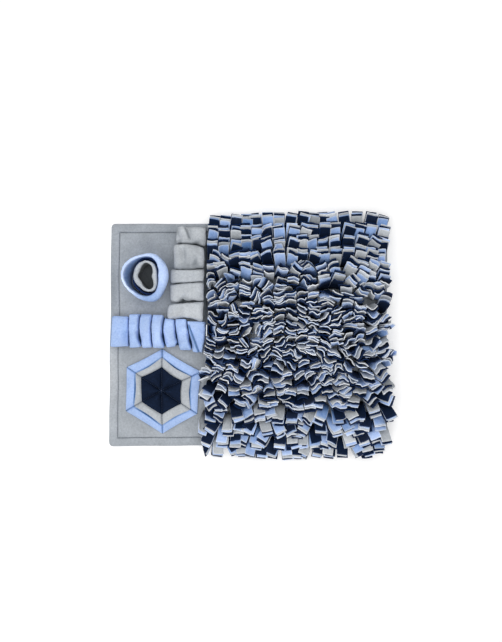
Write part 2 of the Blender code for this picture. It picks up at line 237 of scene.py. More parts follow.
camera_data = bpy.data.cameras.new("camera")
camera_data.sensor_fit = "HORIZONTAL"
camera_data.sensor_width = SENSOR
camera_data.lens = SENSOR * CAMERA_HEIGHT / VIEW_WIDTH
camera = put_in_scene("camera", camera_data)
camera.location = (*VIEW_CENTRE, CAMERA_HEIGHT)
bpy.context.scene.camera = camera
print("lens, mm:", round(camera_data.lens, 1))

# %% [markdown]
# ## Fleece
#
# Fleece is brushed polyester. Its nap scatters light, so it has no shine, a soft pale edge where it turns away,
# and small pills and clumps about a millimetre across. The nap is drawn a little coarser than it is, so that it
# shows. Three sizes of noise give the colour its life: broad handling marks, pills, and the nap itself. The last
# two also push the surface in and out. A value stored on the cloth makes one strip lighter than the next, and
# also carries painted shade and painted light: darker in seams, folds, hollows and between the strips, lighter
# where a side is lit. Where that painted shade is deep, the colour is made stronger, as painted bounce light, and
# a second value paints a highlight on cut edges.

# %% Fleece
HANDLING_MARKS, PILLS, NAP = 28 * MM, 3.2 * MM, 1.1 * MM
NAP_SHARE = 0.45  # how much of the fine mottling is nap, and not pills
RAMP_SPREAD = 0.44  # how much of the noise's range lies between the deep and the pale colour
RELIEF = 0.5
RICHER = 0.85  # how fast the colour gets stronger as the painted shade deepens: painted bounce light


def fleece(name, main, deep, pale, edge_highlight, sheen=0.22):
    """Brushed fleece in one dye. Deep is the colour between the fibres, pale that of their lit tips, and
    edge_highlight that of a painted highlight on a cut edge, where loose fibres catch the light."""
    material, tree, shader = new_material(name)
    place = add_node(tree, "ShaderNodeTexCoord").outputs["Object"]
    patches, pills, nap = (
        add_node(tree, "ShaderNodeTexNoise", None, {
            "Vector": place, "Scale": 1 / size, "Detail": 2.0, "Roughness": rough}).outputs["Fac"]
        for size, rough in ((HANDLING_MARKS, 0.5), (PILLS, 0.6), (NAP, 0.65)))
    pills_and_nap = add_node(tree, "ShaderNodeMix", {"data_type": "FLOAT"}, {
        "Factor": NAP_SHARE, "A": pills, "B": nap})
    ramp = add_node(tree, "ShaderNodeValToRGB", None, {"Fac": pills_and_nap.outputs["Result"]})
    ends = ramp.color_ramp.elements
    ends[0].position, ends[0].color = 0.5 - RAMP_SPREAD / 2, linear(deep)
    ends[1].position, ends[1].color = 0.5 + RAMP_SPREAD / 2, linear(pale)
    ends.new(0.5).color = linear(main)
    shade = add_node(tree, "ShaderNodeAttribute", {"attribute_name": "shade"}).outputs["Fac"]
    edge = add_node(tree, "ShaderNodeAttribute", {"attribute_name": "edge"}).outputs["Fac"]
    # A cut edge is mixed towards a paler colour: a painted highlight.
    cut = add_node(tree, "ShaderNodeMix", {"data_type": "RGBA"}, {
        0: edge, 6: ramp.outputs["Color"], 7: linear(edge_highlight)}).outputs[2]
    # Broad marks, and the value stored on the cloth, its tone with painted shade and painted light, both scale the
    # brightness a little either way of 1.
    broad = add_node(tree, "ShaderNodeMapRange", None, {
        "Value": patches, "From Min": 0.3, "From Max": 0.7, "To Min": 0.90, "To Max": 1.08}).outputs["Result"]
    own = add_node(tree, "ShaderNodeMath", {"operation": "ADD"}, {0: shade, 1: 1.0}).outputs[0]
    value = add_node(tree, "ShaderNodeMath", {"operation": "MULTIPLY"}, {0: broad, 1: own}).outputs[0]
    # Painted bounce light: where the painted shade is deeper, the colour is made dimmer and stronger, as light that
    # has bounced between dyed fibres is.
    richer = add_node(tree, "ShaderNodeMath", {"operation": "MULTIPLY_ADD"}, {
        0: shade, 1: -RICHER, 2: 1.0}).outputs[0]
    tinted = add_node(tree, "ShaderNodeHueSaturation", None, {"Color": cut, "Value": value, "Saturation": richer})
    tree.links.new(tinted.outputs["Color"], shader.inputs["Base Color"])
    clumps = add_node(tree, "ShaderNodeBump", None, {
        "Height": pills, "Strength": RELIEF, "Distance": 0.7 * MM}).outputs["Normal"]
    fibres = add_node(tree, "ShaderNodeBump", None, {
        "Height": nap, "Strength": RELIEF, "Distance": 0.35 * MM, "Normal": clumps}).outputs["Normal"]
    tree.links.new(fibres, shader.inputs["Normal"])
    shader.inputs["Roughness"].default_value = 0.92
    shader.inputs["Specular IOR Level"].default_value = 0.2
    shader.inputs["Sheen Weight"].default_value = sheen
    shader.inputs["Sheen Roughness"].default_value = 0.6
    shader.inputs["Sheen Tint"].default_value = linear(pale)
    return material


# The last colour of each is the painted highlight of its cut edges.
MAT_GREY = fleece("fleece_mid_grey", "#a4aab1", "#92989f", "#b4bac1", "#b8bdc3")
LIGHT_GREY = fleece("fleece_light_grey", "#bdc2c7", "#a9aeb5", "#cdd1d6", "#f0f4fa")
LIGHT_BLUE = fleece("fleece_light_blue", "#adc7f4", "#96b1e6", "#c0d5fa", "#e6f0ff")
NAVY = fleece("fleece_navy", "#0c1b33", "#081325", "#132542", "#24365c", sheen=0.06)
# The same navy, made bluer and lighter and softer in its shadows: painted light, for the light that the pale blue
# cloth round the middle cup bounces onto it.
NAVY_WITH_PAINTED_BOUNCE = fleece("fleece_navy_painted_bounce", "#172a52", "#101f40", "#20366a", "#24345a", sheen=0.12)
print("fleece:", [m.name for m in (MAT_GREY, LIGHT_GREY, LIGHT_BLUE, NAVY, NAVY_WITH_PAINTED_BOUNCE)])

# %% [markdown]
# ## Stitches
#
# A seam shows as a row of short stitches, pulled down into the cloth. They could be a dashed line in a material,
# but real ones stand up a little and catch the light. So Geometry Nodes walk along a path, put a small bead at
# every step, stretch it along the path, and vary it slightly. The same tree serves the hem and the flower.

# %% Thread and the stitch tree
STITCH_PITCH, STITCH_LENGTH, THREAD = 3.0 * MM, 2.5 * MM, 0.8 * MM
TWIST = 0.5 * MM  # from one ridge of the twisted thread to the next


def thread(name, colour):
    """Twisted polyester thread: fine slanted ridges and a slight gloss."""
    material, tree, shader = new_material(name)
    place = add_node(tree, "ShaderNodeTexCoord").outputs["Object"]
    ply = add_node(tree, "ShaderNodeTexWave", {"bands_direction": "DIAGONAL"}, {
        "Vector": place, "Scale": 0.05 / TWIST, "Distortion": 1.5, "Detail": 1.0}).outputs["Fac"]
    ramp = add_node(tree, "ShaderNodeValToRGB", None, {"Fac": ply})
    dark, light = (tuple(c * k for c in linear(colour)[:3]) + (1.0,) for k in (0.75, 1.2))
    ramp.color_ramp.elements[0].color = dark
    ramp.color_ramp.elements[1].color = light
    tree.links.new(ramp.outputs["Color"], shader.inputs["Base Color"])
    ridges = add_node(tree, "ShaderNodeBump", None, {"Height": ply, "Strength": 0.5, "Distance": 0.1 * MM})
    tree.links.new(ridges.outputs["Normal"], shader.inputs["Normal"])
    shader.inputs["Roughness"].default_value = 0.6
    return material


def stitches_tree():
    """Lays stitches along every edge of a path."""
    tree, given = geometry_tree("stitches", (
        ("Path", "Geometry", None), ("Pitch", "Float", STITCH_PITCH), ("Length", "Float", STITCH_LENGTH),
        ("Thread", "Float", THREAD), ("Unevenness", "Float", 0.12), ("Seed", "Int", 5),
        ("Material", "Material", None)), "Stitches")
    curve = add_node(tree, "GeometryNodeMeshToCurve", None, {"Mesh": given["Path"]})
    steps = add_node(tree, "GeometryNodeResampleCurve", {"mode": "LENGTH"}, {
        "Curve": curve.outputs[0], "Length": given["Pitch"]})
    bead = add_node(tree, "GeometryNodeMeshUVSphere", None, {"Segments": 8, "Rings": 6, "Radius": 0.5})
    way = add_node(tree, "GeometryNodeInputTangent")
    turned = add_node(tree, "FunctionNodeAlignRotationToVector", {"axis": "X"}, {"Vector": way.outputs[0]})
    less = add_node(tree, "ShaderNodeMath", {"operation": "SUBTRACT"}, {0: 1.0, 1: given["Unevenness"]})
    more = add_node(tree, "ShaderNodeMath", {"operation": "ADD"}, {0: 1.0, 1: given["Unevenness"]})
    vary = add_node(tree, "FunctionNodeRandomValue", {"data_type": "FLOAT"}, {"Seed": given["Seed"]})
    tree.links.new(less.outputs[0], vary.inputs[2])
    tree.links.new(more.outputs[0], vary.inputs[3])
    long = add_node(tree, "ShaderNodeMath", {"operation": "MULTIPLY"}, {0: given["Length"], 1: vary.outputs[1]})
    size = add_node(tree, "ShaderNodeCombineXYZ", None, {
        "X": long.outputs[0], "Y": given["Thread"], "Z": given["Thread"]})
    laid = add_node(tree, "GeometryNodeInstanceOnPoints", None, {
        "Points": steps.outputs[0], "Instance": bead.outputs["Mesh"], "Rotation": turned.outputs[0],
        "Scale": size.outputs[0]})
    real = add_node(tree, "GeometryNodeRealizeInstances", None, {"Geometry": laid.outputs[0]})
    dressed = add_node(tree, "GeometryNodeSetMaterial", None, {
        "Geometry": real.outputs[0], "Material": given["Material"]})
    add_node(tree, "NodeGroupOutput", None, {"Stitches": dressed.outputs[0]})
    return tree


STITCHES = stitches_tree()


def sew(name, paths, material, seed):
    """Stitches along one or more rows of points, in mm, as one plain mesh."""
    points = np.concatenate(paths) * MM
    start = np.cumsum([0] + [len(path) for path in paths])
    edges = [(i, i + 1) for a, b in zip(start[:-1], start[1:]) for i in range(a, b - 1)]
    mesh = bpy.data.meshes.new(name)
    mesh.from_pydata(points.tolist(), edges, [])
    thing = grow(put_in_scene(name, mesh), STITCHES, {"Material": material, "Seed": seed})
    thing.data.shade_smooth()
    return thing


HEM_THREAD = thread("thread_mid_grey", "#6c727a")
FLOWER_THREAD = thread("thread_dark_blue", "#2c3852")
print("stitch pitch, mm:", STITCH_PITCH / MM)

# %% [markdown]
# ## The hemmed mat
#
# The mat is two layers of fleece with a turned hem, held by one row of stitches. On the real thing the stitches
# pull the cloth down into a groove, and the hem swells a little on both sides of it. It could be a box with a
# bump map, but its edge shows all round, so it is a grid with lines close together at the hem.

# %% Mat
MAT_WIDTH, MAT_DEPTH, MAT_TOP = 482 * MM, 388 * MM, 4.6 * MM
CORNER = 7 * MM
EDGE_WAVE, WAVE_LENGTH = 1.6 * MM, 71 * MM
LEFT_FLARE = 3.5 * MM  # how far the left edge spreads outwards at the front
SEAM_IN = 15  # mm from the edge to the hem's stitches
EDGE_LINES = [0, 0.5, 1.4, 3, 6, 9.5, 12.5, 13.8, 14.5, SEAM_IN, 15.5, 16.2, 17.5, 20]  # mm in from the edge
MIDDLE_CELL = 4.2 * MM
REST_Z = 4.9 * MM  # what lies on the mat starts here
MAT_TONE_AND_SHADOWS = (  # (x, y, reach in x, reach in y, amount): lighter and darker patches of the nap, with painted shadow beside the cup and the loops
    (-138, 182, 15, 20, -0.16), (-138, 108, 9, 26, -0.26), (-238, 100, 9, 50, -0.06), (-236, -62, 12, 70, 0.26),
    (-180, -160, 90, 26, 0.10), (-222, 70, 12, 60, 0.08), (-190, 42, 34, 12, 0.14), (-236, 60, 8, 60, -0.14),
    (-205, 170, 26, 16, 0.06), (-100, -150, 16, 14, -0.08), (-150, 205, 60, 10, 0.15),
    # painted shadow beside the field of strips
    (-74, 50, 4.5, 26, -0.72), (-74, 100, 4.5, 40, -0.72), (-73, 150, 4.5, 34, -0.66),
    (-242, -100, 8, 90, 0.10), (-210, -207, 40, 10, 0.10),
)


def lines_across(width):
    """Where the mat's grid has its lines on one axis: close together at the hem, even between."""
    near = -width / 2 + np.array(EDGE_LINES) * MM
    steps = int((width - 2 * EDGE_LINES[-1] * MM) / MIDDLE_CELL)
    middle = np.linspace(near[-1], -near[-1], steps + 1)[1:-1]
    return np.concatenate((near, middle, -near[::-1]))


def mat_points():
    """Top points of the mat, and how far each is from the edge."""
    x, y = np.meshgrid(lines_across(MAT_WIDTH), lines_across(MAT_DEPTH), indexing="ij")
    # A corner square is pushed onto a round corner.
    reach_x, reach_y = MAT_WIDTH / 2 - CORNER, MAT_DEPTH / 2 - CORNER
    over_x, over_y = np.maximum(np.abs(x) - reach_x, 0), np.maximum(np.abs(y) - reach_y, 0)
    longest = np.maximum(over_x, over_y)
    length = np.hypot(over_x, over_y)
    pull = np.where(length > 0, longest / np.maximum(length, 1e-9), 1.0)
    x = np.sign(x) * (np.minimum(np.abs(x), reach_x) + over_x * pull)
    y = np.sign(y) * (np.minimum(np.abs(y), reach_y) + over_y * pull)
    inset = np.minimum(MAT_WIDTH / 2 - np.abs(x), MAT_DEPTH / 2 - np.abs(y))
    inset = np.where(length > 0, CORNER - longest, inset)
    spot = np.stack((x, y, np.zeros_like(x)), -1)
    x = x + EDGE_WAVE * bumpy(spot, WAVE_LENGTH, 3.0)
    y = y + EDGE_WAVE * bumpy(spot, WAVE_LENGTH, 13.0)
    near_front = eased(0.35 - y / MAT_DEPTH)
    x = x - np.where(x < 0, LEFT_FLARE * near_front * eased(-2.2 * x / MAT_WIDTH), 0)
    return x, y, inset


def rounding(mm, radius, depth):
    """How far a rounded edge falls away, this many mm in from it."""
    return depth * (1 - np.sqrt(np.clip(1 - (1 - np.clip(mm / radius, 0, 1)) ** 2, 0, 1)))


def build_mat():
    """The mat, and the line that its hem's stitches follow."""
    x, y, inset = mat_points()
    flat = np.stack((x, y, np.zeros_like(x)), -1)
    run = np.where(MAT_WIDTH / 2 - np.abs(x) < MAT_DEPTH / 2 - np.abs(y), y, x)
    mm = inset / MM
    groove = 2.0 * bump_at(mm, SEAM_IN, 0.85) * (0.9 + 0.1 * np.cos(run / STITCH_PITCH * 2 * math.pi))
    swell = 0.35 * bump_at(mm, 9, 5) + 0.3 * bump_at(mm, 18, 2.2)
    pucker = 0.45 * bumpy(flat, 9 * MM, 4.0) * bump_at(mm, SEAM_IN, 6)
    pucker = pucker + 0.25 * bumpy(flat, 16 * MM, 14.0) * bump_at(mm, 8, 7)
    # Broad soft wrinkles, longer from side to side than from front to back.
    wrinkles = 0.55 * bumpy(flat * (0.6, 1.5, 1), 40 * MM, 1.0) + 0.25 * bumpy(flat * (1, 2.2, 1), 26 * MM, 8.0)
    wrinkles = wrinkles * eased((mm - 4) / 20) - 0.4
    top = MAT_TOP / MM + swell + pucker + wrinkles - groove - rounding(mm, 3.0, 2.4)
    top = np.minimum(top, REST_Z / MM - 0.05) * MM
    under = rounding(mm, 2.4, 2.2) * MM
    rows, columns = x.shape
    faces = grid_faces(rows, columns)
    upper = np.stack((x, y, top), -1).reshape(-1, 3)
    lower = np.stack((x, y, np.minimum(under, top - 0.05 * MM)), -1).reshape(-1, 3)
    index = np.arange(rows * columns).reshape(rows, columns)
    border = np.concatenate((index[:, 0], index[-1, 1:], index[-2::-1, -1], index[0, -2:0:-1]))
    count = rows * columns
    rim = np.stack((border, border + count, np.roll(border, -1) + count, np.roll(border, -1)), 1)
    points = np.concatenate((upper, lower))
    # Along the stitches the nap is pressed flat, and painted shade darkens the groove; the patches add tone and
    # painted shadow.
    pressed_and_shaded = -0.30 * bump_at(mm, SEAM_IN, 0.8) + patches_at(MAT_TONE_AND_SHADOWS, x / MM, y / MM)
    pressed_and_shaded = np.concatenate((pressed_and_shaded.ravel(), np.zeros(count)))
    mat = mesh_of("mat_fleece", points, np.concatenate((faces[:, ::-1], faces + count, rim)), points[:, :2],
                  {"shade": pressed_and_shaded})
    fix_normals(mat)
    mat.data.materials.append(MAT_GREY)
    # The stitches follow the grid's own lines round the hem, and stand a little proud of the groove.
    at = EDGE_LINES.index(SEAM_IN)
    last_row, last_column = rows - 1 - at, columns - 1 - at
    ring = np.concatenate((index[at, at:last_column], index[at:last_row, last_column],
                           index[last_row, last_column:at:-1], index[last_row:at:-1, at], index[at, at : at + 1]))
    return mat, upper[ring] / MM + (0, 0, 0.45)


mat, hem_line = build_mat()
hem_stitches = sew("hem_stitches", [hem_line], HEM_THREAD, 5)
print("mat:", triangles(mat), "triangles, hem stitches:", triangles(hem_stitches), "triangles")

# %% [markdown]
# ## The cups
#
# Each cup is a tube of fleece folded double over itself, so its rim is a soft fold, and its foot is sewn to the
# mat. A turned profile would be round, but sewn tubes are pushed out of round by hand. So a short table gives
# the wall's radius at each angle, and the wall's section is swept round it with small dents.

# %% Cup tables
OUTER_CUP = ((31.5, 30.6), (35.5, 34.0), (36.5, 37.4), (33.6, 34.2), (31.0, 32.4), (28.0, 32.8),
             (27.5, 32.6), (29.6, 31.2), (30.0, 30.8), (34.5, 34.8), (38.0, 38.2), (34.0, 33.6))
MIDDLE_CUP = ((20.5, 20.2), (22.8, 23.2), (28.2, 30.0), (29.6, 32.0), (28.0, 28.6), (25.0, 22.4),
              (25.0, 21.2), (27.6, 23.4), (26.3, 24.6), (28.0, 28.4), (29.2, 30.0), (23.0, 23.2))
INNER_CUP = ((15.0, 14.4), (17.1, 16.8), (22.1, 22.2), (24.3, 24.6), (21.8, 21.0), (19.0, 17.6),
             (19.8, 16.8), (18.4, 15.9), (17.8, 16.6), (21.6, 22.0), (24.2, 24.8), (17.8, 17.6))
CUPS = (  # (piece, node, table of (foot, rim) radii every 30 degrees, centre, height, wall, material, slot)
    ("cup_outer_cloth", "cup_outer", OUTER_CUP, (-177.5, 98.5), 50.0, 6.4, LIGHT_BLUE, "light_blue"),
    ("cup_middle_cloth", "cup_middle", MIDDLE_CUP, (-172.5, 98.5), 38.0, 3.4, NAVY_WITH_PAINTED_BOUNCE, "navy"),
    ("cup_inner_cloth", "cup_inner", INNER_CUP, (-172.5, 98.5), 43.0, 6.4, LIGHT_GREY, "light_grey"),
)
# How each rim departs from an even one: (degrees, spread of degrees, mm). Roll is how far the fold slumps
# outwards, thick is added to the wall, dip lowers the rim, and inward pushes the inner side into the hollow.
ROLL = {"cup_outer_cloth": ((2, 42, 8.0), (-62, 30, 3.6), (60, 24, 1.2))}
THICK = {"cup_outer_cloth": ((88, 42, -2.4), (222, 42, -2.4), (170, 30, -1.6), (0, 40, 1.6)),
         "cup_inner_cloth": ((0, 38, 2.6), (190, 40, 1.4), (90, 24, -2.8), (285, 24, -2.4), (222, 20, 1.8),
                             (133, 24, 3.4))}
DIP = {"cup_middle_cloth": ((165, 55, 9.0),), "cup_outer_cloth": ((20, 30, 3.0), (-130, 30, 2.0)),
       "cup_inner_cloth": ((205, 30, 2.5), (60, 25, 2.0))}
INWARD = {"cup_inner_cloth": ((180, 60, -3.4), (90, 40, -1.5), (270, 30, -1.5), (318, 16, 2.6), (20, 18, 1.2))}
# Painted light and shade on the outer cup's rim and outside, as a share, and how dark the painted shade gets inside
# each cup
RIM_PAINTED_LIGHT = {"cup_outer_cloth": ((5, 50, 0.16), (90, 45, 0.24), (180, 55, 0.28), (232, 38, 0.22), (278, 30, -0.16))}
HOLLOW_PAINTED_SHADE = {"cup_outer_cloth": 0.30, "cup_middle_cloth": 0.0, "cup_inner_cloth": 0.78}
AROUND = 144  # points round a cup
WALL_TOP = 0.86  # share of the height where the wall ends and the fold of the rim begins
# The closed bottom of a cup: share of the foot's radius and mm above the mat, from its middle out and back under
BOTTOM_RINGS = (0.0, 0.35, 0.7, 0.95, 0.95, 0.7, 0.35, 0.0)
BOTTOM_LEVELS = (1.6, 1.7, 1.5, 1.0, 0.2, 0.1, 0.1, 0.1)
BOTTOM_RAISED = {"cup_middle_cloth": 0.0, "cup_inner_cloth": 2.2}  # the outer cup has no bottom of its own
print("cups to make:", [(cup[0], "height, mm:", cup[4]) for cup in CUPS])


# %% Make the cups
def round_reading(table, degrees, column):
    """Smooth reading of a table whose rows are spaced evenly round a turn."""
    rows = np.array(table)[:, column]
    place = degrees / (360 / len(rows))
    i = np.floor(place).astype(int)
    return catmull_rom(*(rows[(i + k) % len(rows)] for k in (-1, 0, 1, 2)), place - i)


def round_humps(humps, degrees):
    """Sum of smooth humps round a turn."""
    total = np.zeros_like(degrees, float)
    for centre, spread, height in humps:
        total += height * bump_at((degrees - centre + 180) % 360 - 180, 0, spread)
    return total


def around(centre, turn, reach, z):
    """Points at this reach from a centre, in the direction of each turn."""
    return np.stack((centre[0] + np.cos(turn) * reach, centre[1] + np.sin(turn) * reach, z), -1)


def build_cup(piece, table, centre, height, wall, material, seed):
    """One cup: a folded wall swept round, out of true as sewn cloth is, and for the inner two a closed bottom."""
    degrees = np.arange(AROUND)[:, None] * 360 / AROUND
    turn = np.radians(degrees)
    foot, rim = (round_reading(table, degrees[:, 0], k)[:, None] for k in (0, 1))
    thick, roll, dip, inward, lit = (
        round_humps(humps.get(piece, ()), degrees) for humps in (THICK, ROLL, DIP, INWARD, RIM_PAINTED_LIGHT))
    half = (wall + thick) / 2
    # The section goes up the outside, over the fold and down the inside. Each place has an offset from the
    # middle of the wall and a drop from the rim's height, in mm, and a share of the height.
    up = np.linspace(0, WALL_TOP, 14)
    over = np.radians(np.linspace(0, 180, 17))
    outer = np.cos(over) > 0
    foot_pinch = 0.8 + 0.2 * eased(up * 4)
    outside = half * foot_pinch + roll * eased((up - 0.35) / 0.5)
    fold = np.where(outer, half + roll, half) * 1.03 * np.cos(over)
    inside = -half * foot_pinch - inward * np.sin(math.pi * np.clip(up / 0.95, 0, 1)) ** 0.8
    offset = np.concatenate((outside, fold, inside[:, ::-1]), 1)
    drop_fold = (half * 1.1 + roll * 0.55 * outer) * (1 - np.sin(over))
    drop = np.concatenate((np.zeros_like(outside), drop_fold, np.zeros_like(inside)), 1)
    share = np.broadcast_to(np.concatenate((up, np.ones(len(over)), up[::-1])), offset.shape)
    share = np.where((share > 0.8) & (share < 0.999) & (offset > 0), share - 0.010 * roll, share)
    radius = foot + (rim - foot) * share**1.6
    # Dents, creases and swellings, read from noise on a cylinder and on a cone
    cone = np.stack((np.cos(turn) * share, np.sin(turn) * share, 3 * share), -1)
    cylinder = np.stack(np.broadcast_arrays(np.cos(turn), np.sin(turn), 3 * share), -1)
    dents = bumpy(cylinder, 0.55, seed) * 1.1 * share + bumpy(cylinder, 0.2, seed + 5) * 0.55
    creases = 0.5 * bumpy(cylinder * (1, 1, 0.12), 0.11, seed + 2) * (0.4 + 0.6 * share)
    soft = 1 + 0.10 * bumpy(cone, 0.4, seed + 9)
    sway = 1.3 * np.sin(2 * turn + math.radians(40)) + 0.9 * np.sin(3 * turn + seed)
    top = height + sway - dip
    z = top * share - drop + 0.5 * bumpy(cylinder, 0.3, seed + 7) * share
    points = around(centre, turn, radius + offset * soft + dents * 0.6 + creases, REST_Z / MM - 0.6 + z)
    rows, columns = points.shape[:2]
    faces = grid_faces(rows, columns, True, True)
    points = points.reshape(-1, 3)
    # Painted light on the rim and outside, fading out just inside the rim, and painted shade deepening down the
    # inside.
    inner_side = np.arange(columns) >= len(up) + len(over) // 2
    within, past_rim = (eased((0.99 - share) / deep) * inner_side for deep in (0.30, 0.12))
    shade = (lit * eased(share * 2) * (1 - past_rim) - HOLLOW_PAINTED_SHADE[piece] * within).ravel()
    if piece in BOTTOM_RAISED:
        rings, level = (np.broadcast_to(row, (rows, len(row))) for row in (
            np.array(BOTTOM_RINGS), np.array(BOTTOM_LEVELS) + BOTTOM_RAISED[piece]))
        bottom = around(centre, turn, rings * foot, REST_Z / MM + level)
        faces = np.concatenate((faces, grid_faces(rows, len(BOTTOM_RINGS), True) + len(points)))
        points = np.concatenate((points, bottom.reshape(-1, 3)))
        # The bottom gets the full painted shade of its hollow.
        shade = np.concatenate((shade, np.full(rings.size, -HOLLOW_PAINTED_SHADE[piece])))
    cup = mesh_of(piece, points * MM, faces, values={"shade": shade})
    fix_normals(cup, merge=0.01 * MM)
    cup.data.materials.append(material)
    return cup


cups = []
for number, (piece, node, table, centre, height, wall, material, slot) in enumerate(CUPS):
    cup = build_cup(piece, table, centre, height, wall, material, 2.3 * number)
    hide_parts(node)
    cups.append(cup)
print("cups:", [(c.name, triangles(c)) for c in cups])

# %% [markdown]
# ## The sewn loops
#
# A loop strip is one length of cloth, sewn down on a line, pushed up, and sewn down again. Each crown is full
# and round, each seam pinches the cloth into a narrow valley, and small creases run out of the seam. A row of
# half tubes would look stamped. So each seam and each crown has its own place, width and height in a table, and
# the surface runs through them.

# %% Loop tables
SHEET = 2.4 * MM  # one layer of thick fleece
# The seams of each strip, each one as its places at the start, the middle and the end of the line, in mm
GREY_LINES = ((185.3, 185.5, 184.5), (154.7, 155.5, 150.0), (113.1, 112.8, 113.8),
              (87.3, 89.4, 91.1), (54.2, 55.8, 57.6), (26.0, 29.0, 21.5))
GREY_LOOPS = (  # (left edge where the loop starts, at its crown, where it ends), (right edge), height
    ((-123.0, -123.6, -123.0), (-74.2, -74.4, -75.2), 21.0),
    ((-126.5, -127.5, -128.5), (-76.5, -77.2, -78.0), 25.0),
    ((-131.0, -132.8, -130.5), (-77.8, -77.2, -78.0), 19.0),
    ((-134.0, -133.5, -127.0), (-78.0, -77.9, -77.9), 21.0),
    ((-122.0, -138.5, -124.0), (-78.0, -78.6, -82.5), 21.0),
)
BLUE_LINES = ((-236.0, -237.5, -239.0), (-206.0, -206.0, -206.0), (-186.3, -188.2, -183.9), (-165.5, -167.4, -165.5),
              (-145.2, -147.7, -143.4), (-127.4, -124.9, -120.0), (-107.1, -102.2, -97.9), (-74.0, -75.0, -79.0))
BLUE_LOOPS = (
    ((31.0, 31.8, 32.0), (-19.5, -19.8, -19.5), 15.0),
    ((34.0, 34.8, 34.8), (-20.0, -21.0, -20.0), 22.0),
    ((34.6, 34.8, 34.6), (-20.5, -21.0, -21.0), 20.0),
    ((34.6, 34.0, 32.0), (-21.0, -21.5, -20.5), 23.0),
    ((29.0, 27.0, 25.6), (-19.5, -20.0, -15.5), 20.0),
    ((25.8, 26.8, 26.6), (-23.5, -25.4, -24.5), 19.0),
    ((25.2, 22.6, 20.0), (-24.5, -28.5, -30.5), 18.0),
)
# The section of a loop from seam to seam: share of the way between them, and share of the loop's height
LOOP_RUN = (0.0, -0.01, -0.02, -0.02, -0.012, 0.006, 0.04, 0.10, 0.21, 0.39,
            0.61, 0.79, 0.90, 0.96, 0.994, 1.012, 1.02, 1.02, 1.01, 1.0)
LOOP_RISE = (0.0, 0.175, 0.35, 0.525, 0.695, 0.83, 0.925, 0.975, 0.995, 1.005,
             1.005, 0.995, 0.975, 0.925, 0.83, 0.695, 0.525, 0.35, 0.175, 0.0)
# Where a valley opens wider: (line, share of the way across, spread, mm before the line, mm after it)
GREY_GAPS = ((1, 0.10, 0.10, 1.4, 0.2), (1, 0.72, 0.12, 1.6, 0.0), (1, 1.0, 0.08, 1.6, 0.4), (2, 0.9, 0.2, 0.8, 0.2),
             (3, 0.1, 0.2, 0.8, 0.5), (4, 0.30, 0.12, 6.0, 0.3), (4, 0.62, 0.22, 3.0, 0.0), (4, 0.0, 0.12, 2.0, 0.5))
BLUE_GAPS = ((1, 0.15, 0.15, 0.5, 0.0), (1, 0.8, 0.3, 1.6, 0.0), (2, 0.72, 0.2, 2.2, 0.3), (3, 0.7, 0.35, 0.6, 0.2),
             (4, 0.68, 0.22, 1.8, 0.2), (4, 1.0, 0.10, 0.8, 0.8), (5, 0.66, 0.26, 1.8, 0.2), (5, 1.0, 0.09, 4.0, 0.6),
             (6, 0.72, 0.2, 1.6, 1.2), (6, 0.25, 0.2, 0.6, 0.3))
# Painted light and shade on the loops, lighter where a loop is lit more, darker in creases and pinches: (x, y, reach
# in x, reach in y, amount)
GREY_LIGHT_AND_SHADE = ((-108.5, 138, 3, 12, -0.30), (-91, 124, 5.5, 7, -0.40), (-104, 136, 40, 18, -0.07),
              (-117.5, 159, 5, 4, -0.42), (-121.4, 176, 1.8, 7, -0.45), (-112, 180, 5, 9, 0.08),
              (-88, 157.5, 7, 4.5, -0.42), (-98, 178, 4, 8, -0.14), (-109, 63, 10, 4, -0.34),
              (-112, 152, 12, 4, 0.08), (-90, 160, 14, 5, -0.12), (-105, 72, 40, 15, 0.10),
              (-105, 40, 40, 15, 0.11), (-102, 118, 30, 5, -0.30), (-118, 98, 12, 6, -0.06))
BLUE_LIGHT_AND_SHADE = ((-176, 5, 9, 30, 0.07), (-156, 5, 9, 30, 0.10), (-136, 5, 9, 26, 0.08), (-113, 6, 9, 22, 0.07),
              (-192, 12, 8, 18, 0.05), (-212, 8, 6, 18, -0.10), (-96, 12, 14, 9, 0.06))
# Folds and dents: (from), (to), height, how wide on the left of the line, how wide on its right, all mm
GREY_FOLDS = (
    ((-113.5, 188.0), (-104.0, 166.0), 5.5, 2.2, 9.0),  # a tuck across the first loop's corner
    ((-107.0, 188.0), (-99.5, 168.0), -4.6, 4.5, 2.0),
    ((-121.5, 180.0), (-118.5, 168.0), -4.0, 3.0, 3.0),
    ((-112.0, 146.0), (-111.5, 126.0), -3.6, 4.5, 5.5),
    ((-92.0, 131.0), (-99.0, 119.0), -5.5, 6.0, 6.0),
    ((-118.0, 62.0), (-112.0, 70.0), -3.0, 5.0, 5.0),  # the fourth loop is pinched here
    ((-128.0, 40.0), (-104.0, 46.0), 1.4, 4.0, 5.0),
    ((-120.0, 82.0), (-100.0, 70.0), 1.2, 6.0, 4.0),
    ((-128.0, 103.0), (-84.0, 98.0), -1.4, 5.0, 5.0),
    ((-90.0, 152.0), (-84.0, 144.0), -1.5, 4.0, 4.0),
)
